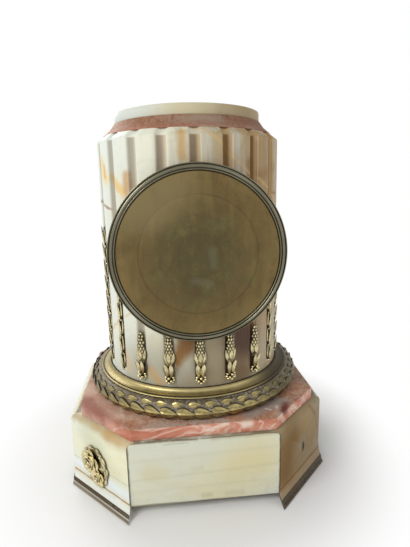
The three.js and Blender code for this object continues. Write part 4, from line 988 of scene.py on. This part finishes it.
def roseMesh(size):  # open flower round Z, back at z 0
    parts = [moveMesh(berryMesh(size * 0.15, 2), Matrix.Translation((0, 0, size * 0.4)))]
    for count, foot, reach, rise, spread, turn in rose["petals"]:
        ring = [about("Z", 360 * step / count + turn) for step in range(count)]
        parts.append(copies(petalMesh(foot * size, reach * size, rise * size, spread), ring))
    return joinMeshes(*parts)


def serrated(length, width):  # rose leaf with a toothed edge
    mesh = leafMesh(length, width, bulge=0.1, belly=0.85, fullness=0.8, thickness=0.0006, steps=(16, 6))
    layer = mesh.verts.layers.float["recess"]
    for vert in mesh.verts:
        reach = abs(vert.co.y) / (width / 2)
        vert.co.y *= 1.08 + 0.06 * sin(vert.co.x / length * tau * 5) * reach ** 3
        # painted shade in a band between the rib and the toothed edge
        vert[layer] = max(vert[layer] * 0.6, 0.75 - abs(reach - 0.42) * 2.6)
    return mesh


def roseMountMesh(side):  # side 1 or -1 turns the spray towards one or the other end of its block
    def at(across, up, turn=0, lift=0.0, tilt=0):
        place = Matrix.Translation((rose["pinReach"] + lift, rose["aside"] * side + across,
                                    rose["pinHeight"] + up))
        return [place @ outward @ about("Z", turn) @ about("Y", -tilt)]

    parts = [copies(roseMesh(radius), at(-across * side, up, turn, 0.0006))
             for across, up, radius, turn in rose["blooms"]]
    parts += [copies(serrated(length, width), at(-across * side, up, 180 - turn if side > 0 else turn, lift, 5))
              for across, up, turn, length, width, lift in rose["leaves"]]
    for across, up, radius, turn in rose["blooms"]:  # a dark backing behind each bloom: painted shade in the gaps between the leaves
        pad = turnedMesh([(0, 0), (radius * 1.05, 0), (radius * 0.95, 0.0009), (0, 0.0012)], 32, False)
        parts.append(copies(withPatinaAndShade(pad, 1.0), at(-across * side, up, lift=-0.0001)))
    pin = turnedMesh([(0, -0.004), (0.0008, -0.004), (0.0008, 0.0015), (0, 0.0015)], 16, False)
    return joinMeshes(*parts, copies(withPatinaAndShade(pin, 0.0), at(0, 0)))


for corner, side in (("back_left", -1), ("front_left", 1), ("front_right", -1)):
    mesh = moveMesh(roseMountMesh(side), about("Z", plinth["corners"][corner]))
    markHollows(mesh, rose["hollow"])
    piece(f"roseMount_{corner}", mesh, "gilt", [f"rose_mount_{corner}"], 60)
print("roses ready")

# Drum: rear cover with a thin outer lip, a main bead and a small inner bead, and grooves between them
drum = {"outer": 0.0623, "face": 0.0874, "rim": 0.0779, "wall": 0.0016, "spigot": 0.0557, "spigotEnd": 0.0666,
        "sheet": 0.0012}


def coverMesh():
    outer, face, spigot, wall = drum["outer"], drum["face"], drum["spigot"], drum["outer"] - drum["wall"]
    sheet = face - drum["sheet"]
    inner = sheet - drum["sheet"]
    profile = [(0, inner), (spigot - 0.0015, inner), (spigot - 0.0015, drum["spigotEnd"]),
               (spigot, drum["spigotEnd"]), (spigot, inner - 0.0006), (wall, inner - 0.0006), (wall, drum["rim"]),
               (outer, drum["rim"]), (outer, face - 0.0018)]
    profile += arc((outer - 0.0005, face - 0.0014), 0.0005, 0, 110, 5)
    profile += [(outer - 0.0012, face - 0.0019), (outer - 0.0015, face - 0.0019)]
    profile += arc((outer - 0.0026, face - 0.0011), 0.0011, 10, 170, 12)
    profile += [(outer - 0.0037, face - 0.0018), (outer - 0.0041, face - 0.0018)]
    profile += arc((outer - 0.0046, face - 0.0012), 0.0005, 20, 160, 6)
    profile += [(outer - 0.0052, face - 0.0019), (outer - 0.0056, sheet - 0.0005), (outer - 0.006, sheet),
                (0.0419, sheet), (0.0415, sheet - 0.00008), (0.0411, sheet), (0.0126, sheet), (0, sheet)]
    return ontoDrum(turnedMesh(profile, 192, closed=False))


lid = piece("rearCover", coverMesh(), "cover", ["rear_cover"], 35, "rear_cover")
lid.data.materials.append(finishes["rimBrass"])
for face in lid.data.polygons:
    if (face.center - axis).xz.length > drum["outer"] - 0.0058 or face.center.y < drum["face"] - 0.003:
        face.material_index = 1

for node in ("rear_collar", "front_collar"):
    piece(node.replace("_c", "C"), cadCopy(node, 0.00015, 1), "sleeveBrass", [node], 30)
piece("frontBezel", cadCopy("front_bezel", 0.0003, 2, 25), "bezelBrass", ["front_bezel"], 30, "bezel_door")
piece("frontGlass", cadCopy("front_glass", 0.0003), "glass", ["front_glass"], 30, "bezel_door")
piece("dialPlate", cadCopy("dial", 0.0002), "enamel", ["dial"], 30)

# Dial: numerals, minute ring and marks, flat ink drawn as seen from the front and laid on its face
dial = {"front": 0.0750, "ink": 0.00008, "minuteRing": (0.0487, 0.0510), "numeralRadius": 0.0408,
        "numeralHeight": 0.0098, "lineWidth": 0.0002, "markWidth": 0.0009}


def textMesh(body, height):
    curve = bpy.data.curves.new("numeral", "FONT")
    curve.body, curve.size, curve.align_x, curve.align_y = body, height, "CENTER", "CENTER"
    curve.extrude = dial["ink"] / 2
    shape = addObject("numeral", curve)
    data = settledMesh(shape)
    mesh = bmesh.new()
    mesh.from_mesh(data)
    bpy.data.objects.remove(shape)
    bpy.data.meshes.remove(data)
    bmesh.ops.remove_doubles(mesh, verts=mesh.verts, dist=1e-6)
    return mesh


def markMesh(width):  # a bar across the minute ring, at twelve
    inner, outer = dial["minuteRing"]
    mesh = bmesh.new()
    bmesh.ops.create_cube(mesh, size=1.0)
    return moveMesh(mesh, Matrix.Translation((0, (outer + inner) / 2, dial["ink"] / 2))
                    @ Matrix.Diagonal((width, outer - inner, dial["ink"], 1)))


def dialNumbers():
    raised = Matrix.Translation((0, dial["numeralRadius"], dial["ink"] / 2))
    parts = [moveMesh(textMesh(numeral, dial["numeralHeight"]), about("Z", -30 * hour) @ raised)
             for hour, numeral in enumerate("I II III IIII V VI VII VIII IX X XI XII".split(), 1)]
    half = dial["lineWidth"] / 2
    parts += [turnedMesh([(radius - half, 0), (radius + half, 0), (radius + half, dial["ink"]),
                          (radius - half, dial["ink"])], 120) for radius in dial["minuteRing"]]
    parts.append(copies(markMesh(dial["lineWidth"]), [about("Z", 6 * minute) for minute in range(60) if minute % 5]))
    parts.append(copies(markMesh(dial["markWidth"]), [about("Z", 30 * hour) for hour in range(12)]))
    face = Matrix.Translation((0, -dial["front"], clock["dialHeight"])) @ about("X", 90)
    return moveMesh(joinMeshes(*parts), face)


piece("dialNumbers", dialNumbers(), "ink", sharp=30)
for node in ("hour_hand", "minute_hand"):
    piece(node.replace("_h", "H"), cadCopy(node, 0.00012, 1), "blued", [node], 30, node)
repaint("workBrass", "movement_front_plate", "movement_back_plate", "going_barrel", "strike_barrel",
        "centre_wheel", "third_wheel", "escape_wheel", "pendulum")
repaint("bell", "bell")
repaint("steel", "anchor", "hammer")
print("drum ready")

# The photograph's camera, a white room and a daylight from the left of the picture
view = {"place": (0.023818, 0.36178, 0.2377), "turn": (77.985, 1.2122, 174.0155), "lens": 26.855}
camera = addObject("camera", bpy.data.cameras.new("camera"))
camera.location = view["place"]
camera.rotation_euler = tuple(radians(angle) for angle in view["turn"])
camera.data.lens, camera.data.sensor_width, camera.data.sensor_fit = view["lens"], 36, "AUTO"
camera.data.clip_start, camera.data.clip_end = 0.01, 20
bpy.context.scene.camera = camera
bpy.context.scene.view_settings.view_transform = "Standard"

# Lamps: name, place, size, power, colour
room = {"fill": 0.42, "aim": (0, 0, 0.15), "floorSize": 6, "floor": (0.86, 0.86, 0.86, 1), "glow": (0.11, 0.2),
        "lamps": [("key", (0.8, 0.62, 0.8), 0.6, 7.2, (1.0, 0.995, 0.98)),
                  ("rim", (-0.85, 0.4, 0.5), 0.4, 0.8, (1.0, 0.97, 0.93)),
                  ("front", (0.45, -0.9, 0.8), 0.7, 5.5, (1.0, 0.99, 0.97))]}
world = bpy.data.worlds.new("white room")
bpy.context.scene.world = world
world.use_nodes = True
tree = world.node_tree
tree.nodes.clear()
output = tree.nodes.new("ShaderNodeOutputWorld")
background = tree.nodes.new("ShaderNodeBackground")
path = tree.nodes.new("ShaderNodeLightPath")
seen = Wire(path.outputs["Is Camera Ray"]) + Wire(path.outputs["Is Glossy Ray"])
seen = (seen + Wire(path.outputs["Is Transmission Ray"])).least(1.0)
feed(background.inputs["Strength"], seen * (1.0 - room["fill"]) + room["fill"])
background.inputs["Color"].default_value = (1, 1, 1, 1)
tree.links.new(background.outputs[0], output.inputs["Surface"])
for name, place, size, power, colour in room["lamps"]:
    lamp = bpy.data.lights.new(name, "AREA")
    lamp.shape, lamp.size, lamp.energy, lamp.color = "DISK", size, power, colour
    shape = addObject(name, lamp)
    shape.location = place
    shape.rotation_euler = (Vector(room["aim"]) - Vector(place)).to_track_quat("-Z", "Y").to_euler()

ground = bmesh.new()
bmesh.ops.create_grid(ground, x_segments=1, y_segments=1, size=room["floorSize"])
floor = addObject("floor", bakeMesh(ground, "floor"))
white = bpy.data.materials.new("white floor")  # pale and lit near the object, plain white further out
white.use_nodes = True
tree = white.node_tree
shader = tree.nodes["Principled BSDF"]
shader.inputs["Base Color"].default_value = room["floor"]
shader.inputs["Roughness"].default_value = 0.9
glow = tree.nodes.new("ShaderNodeEmission")
glow.inputs["Color"].default_value = (1, 1, 1, 1)
path = tree.nodes.new("ShaderNodeLightPath")
far = Wire(tree.nodes.new("ShaderNodeTexCoord").outputs["Object"])
reach = far.vectorSum("LENGTH", (far,), "Value")
blendNode = tree.nodes.new("ShaderNodeMixShader")
feed(blendNode.inputs[0], reach.span(*room["glow"]).most(Wire(path.outputs["Is Glossy Ray"])))
tree.links.new(shader.outputs[0], blendNode.inputs[1])
tree.links.new(glow.outputs[0], blendNode.inputs[2])
tree.links.new(blendNode.outputs[0], tree.nodes["Material Output"].inputs["Surface"])
floor.data.materials.append(white)
print("stage ready")
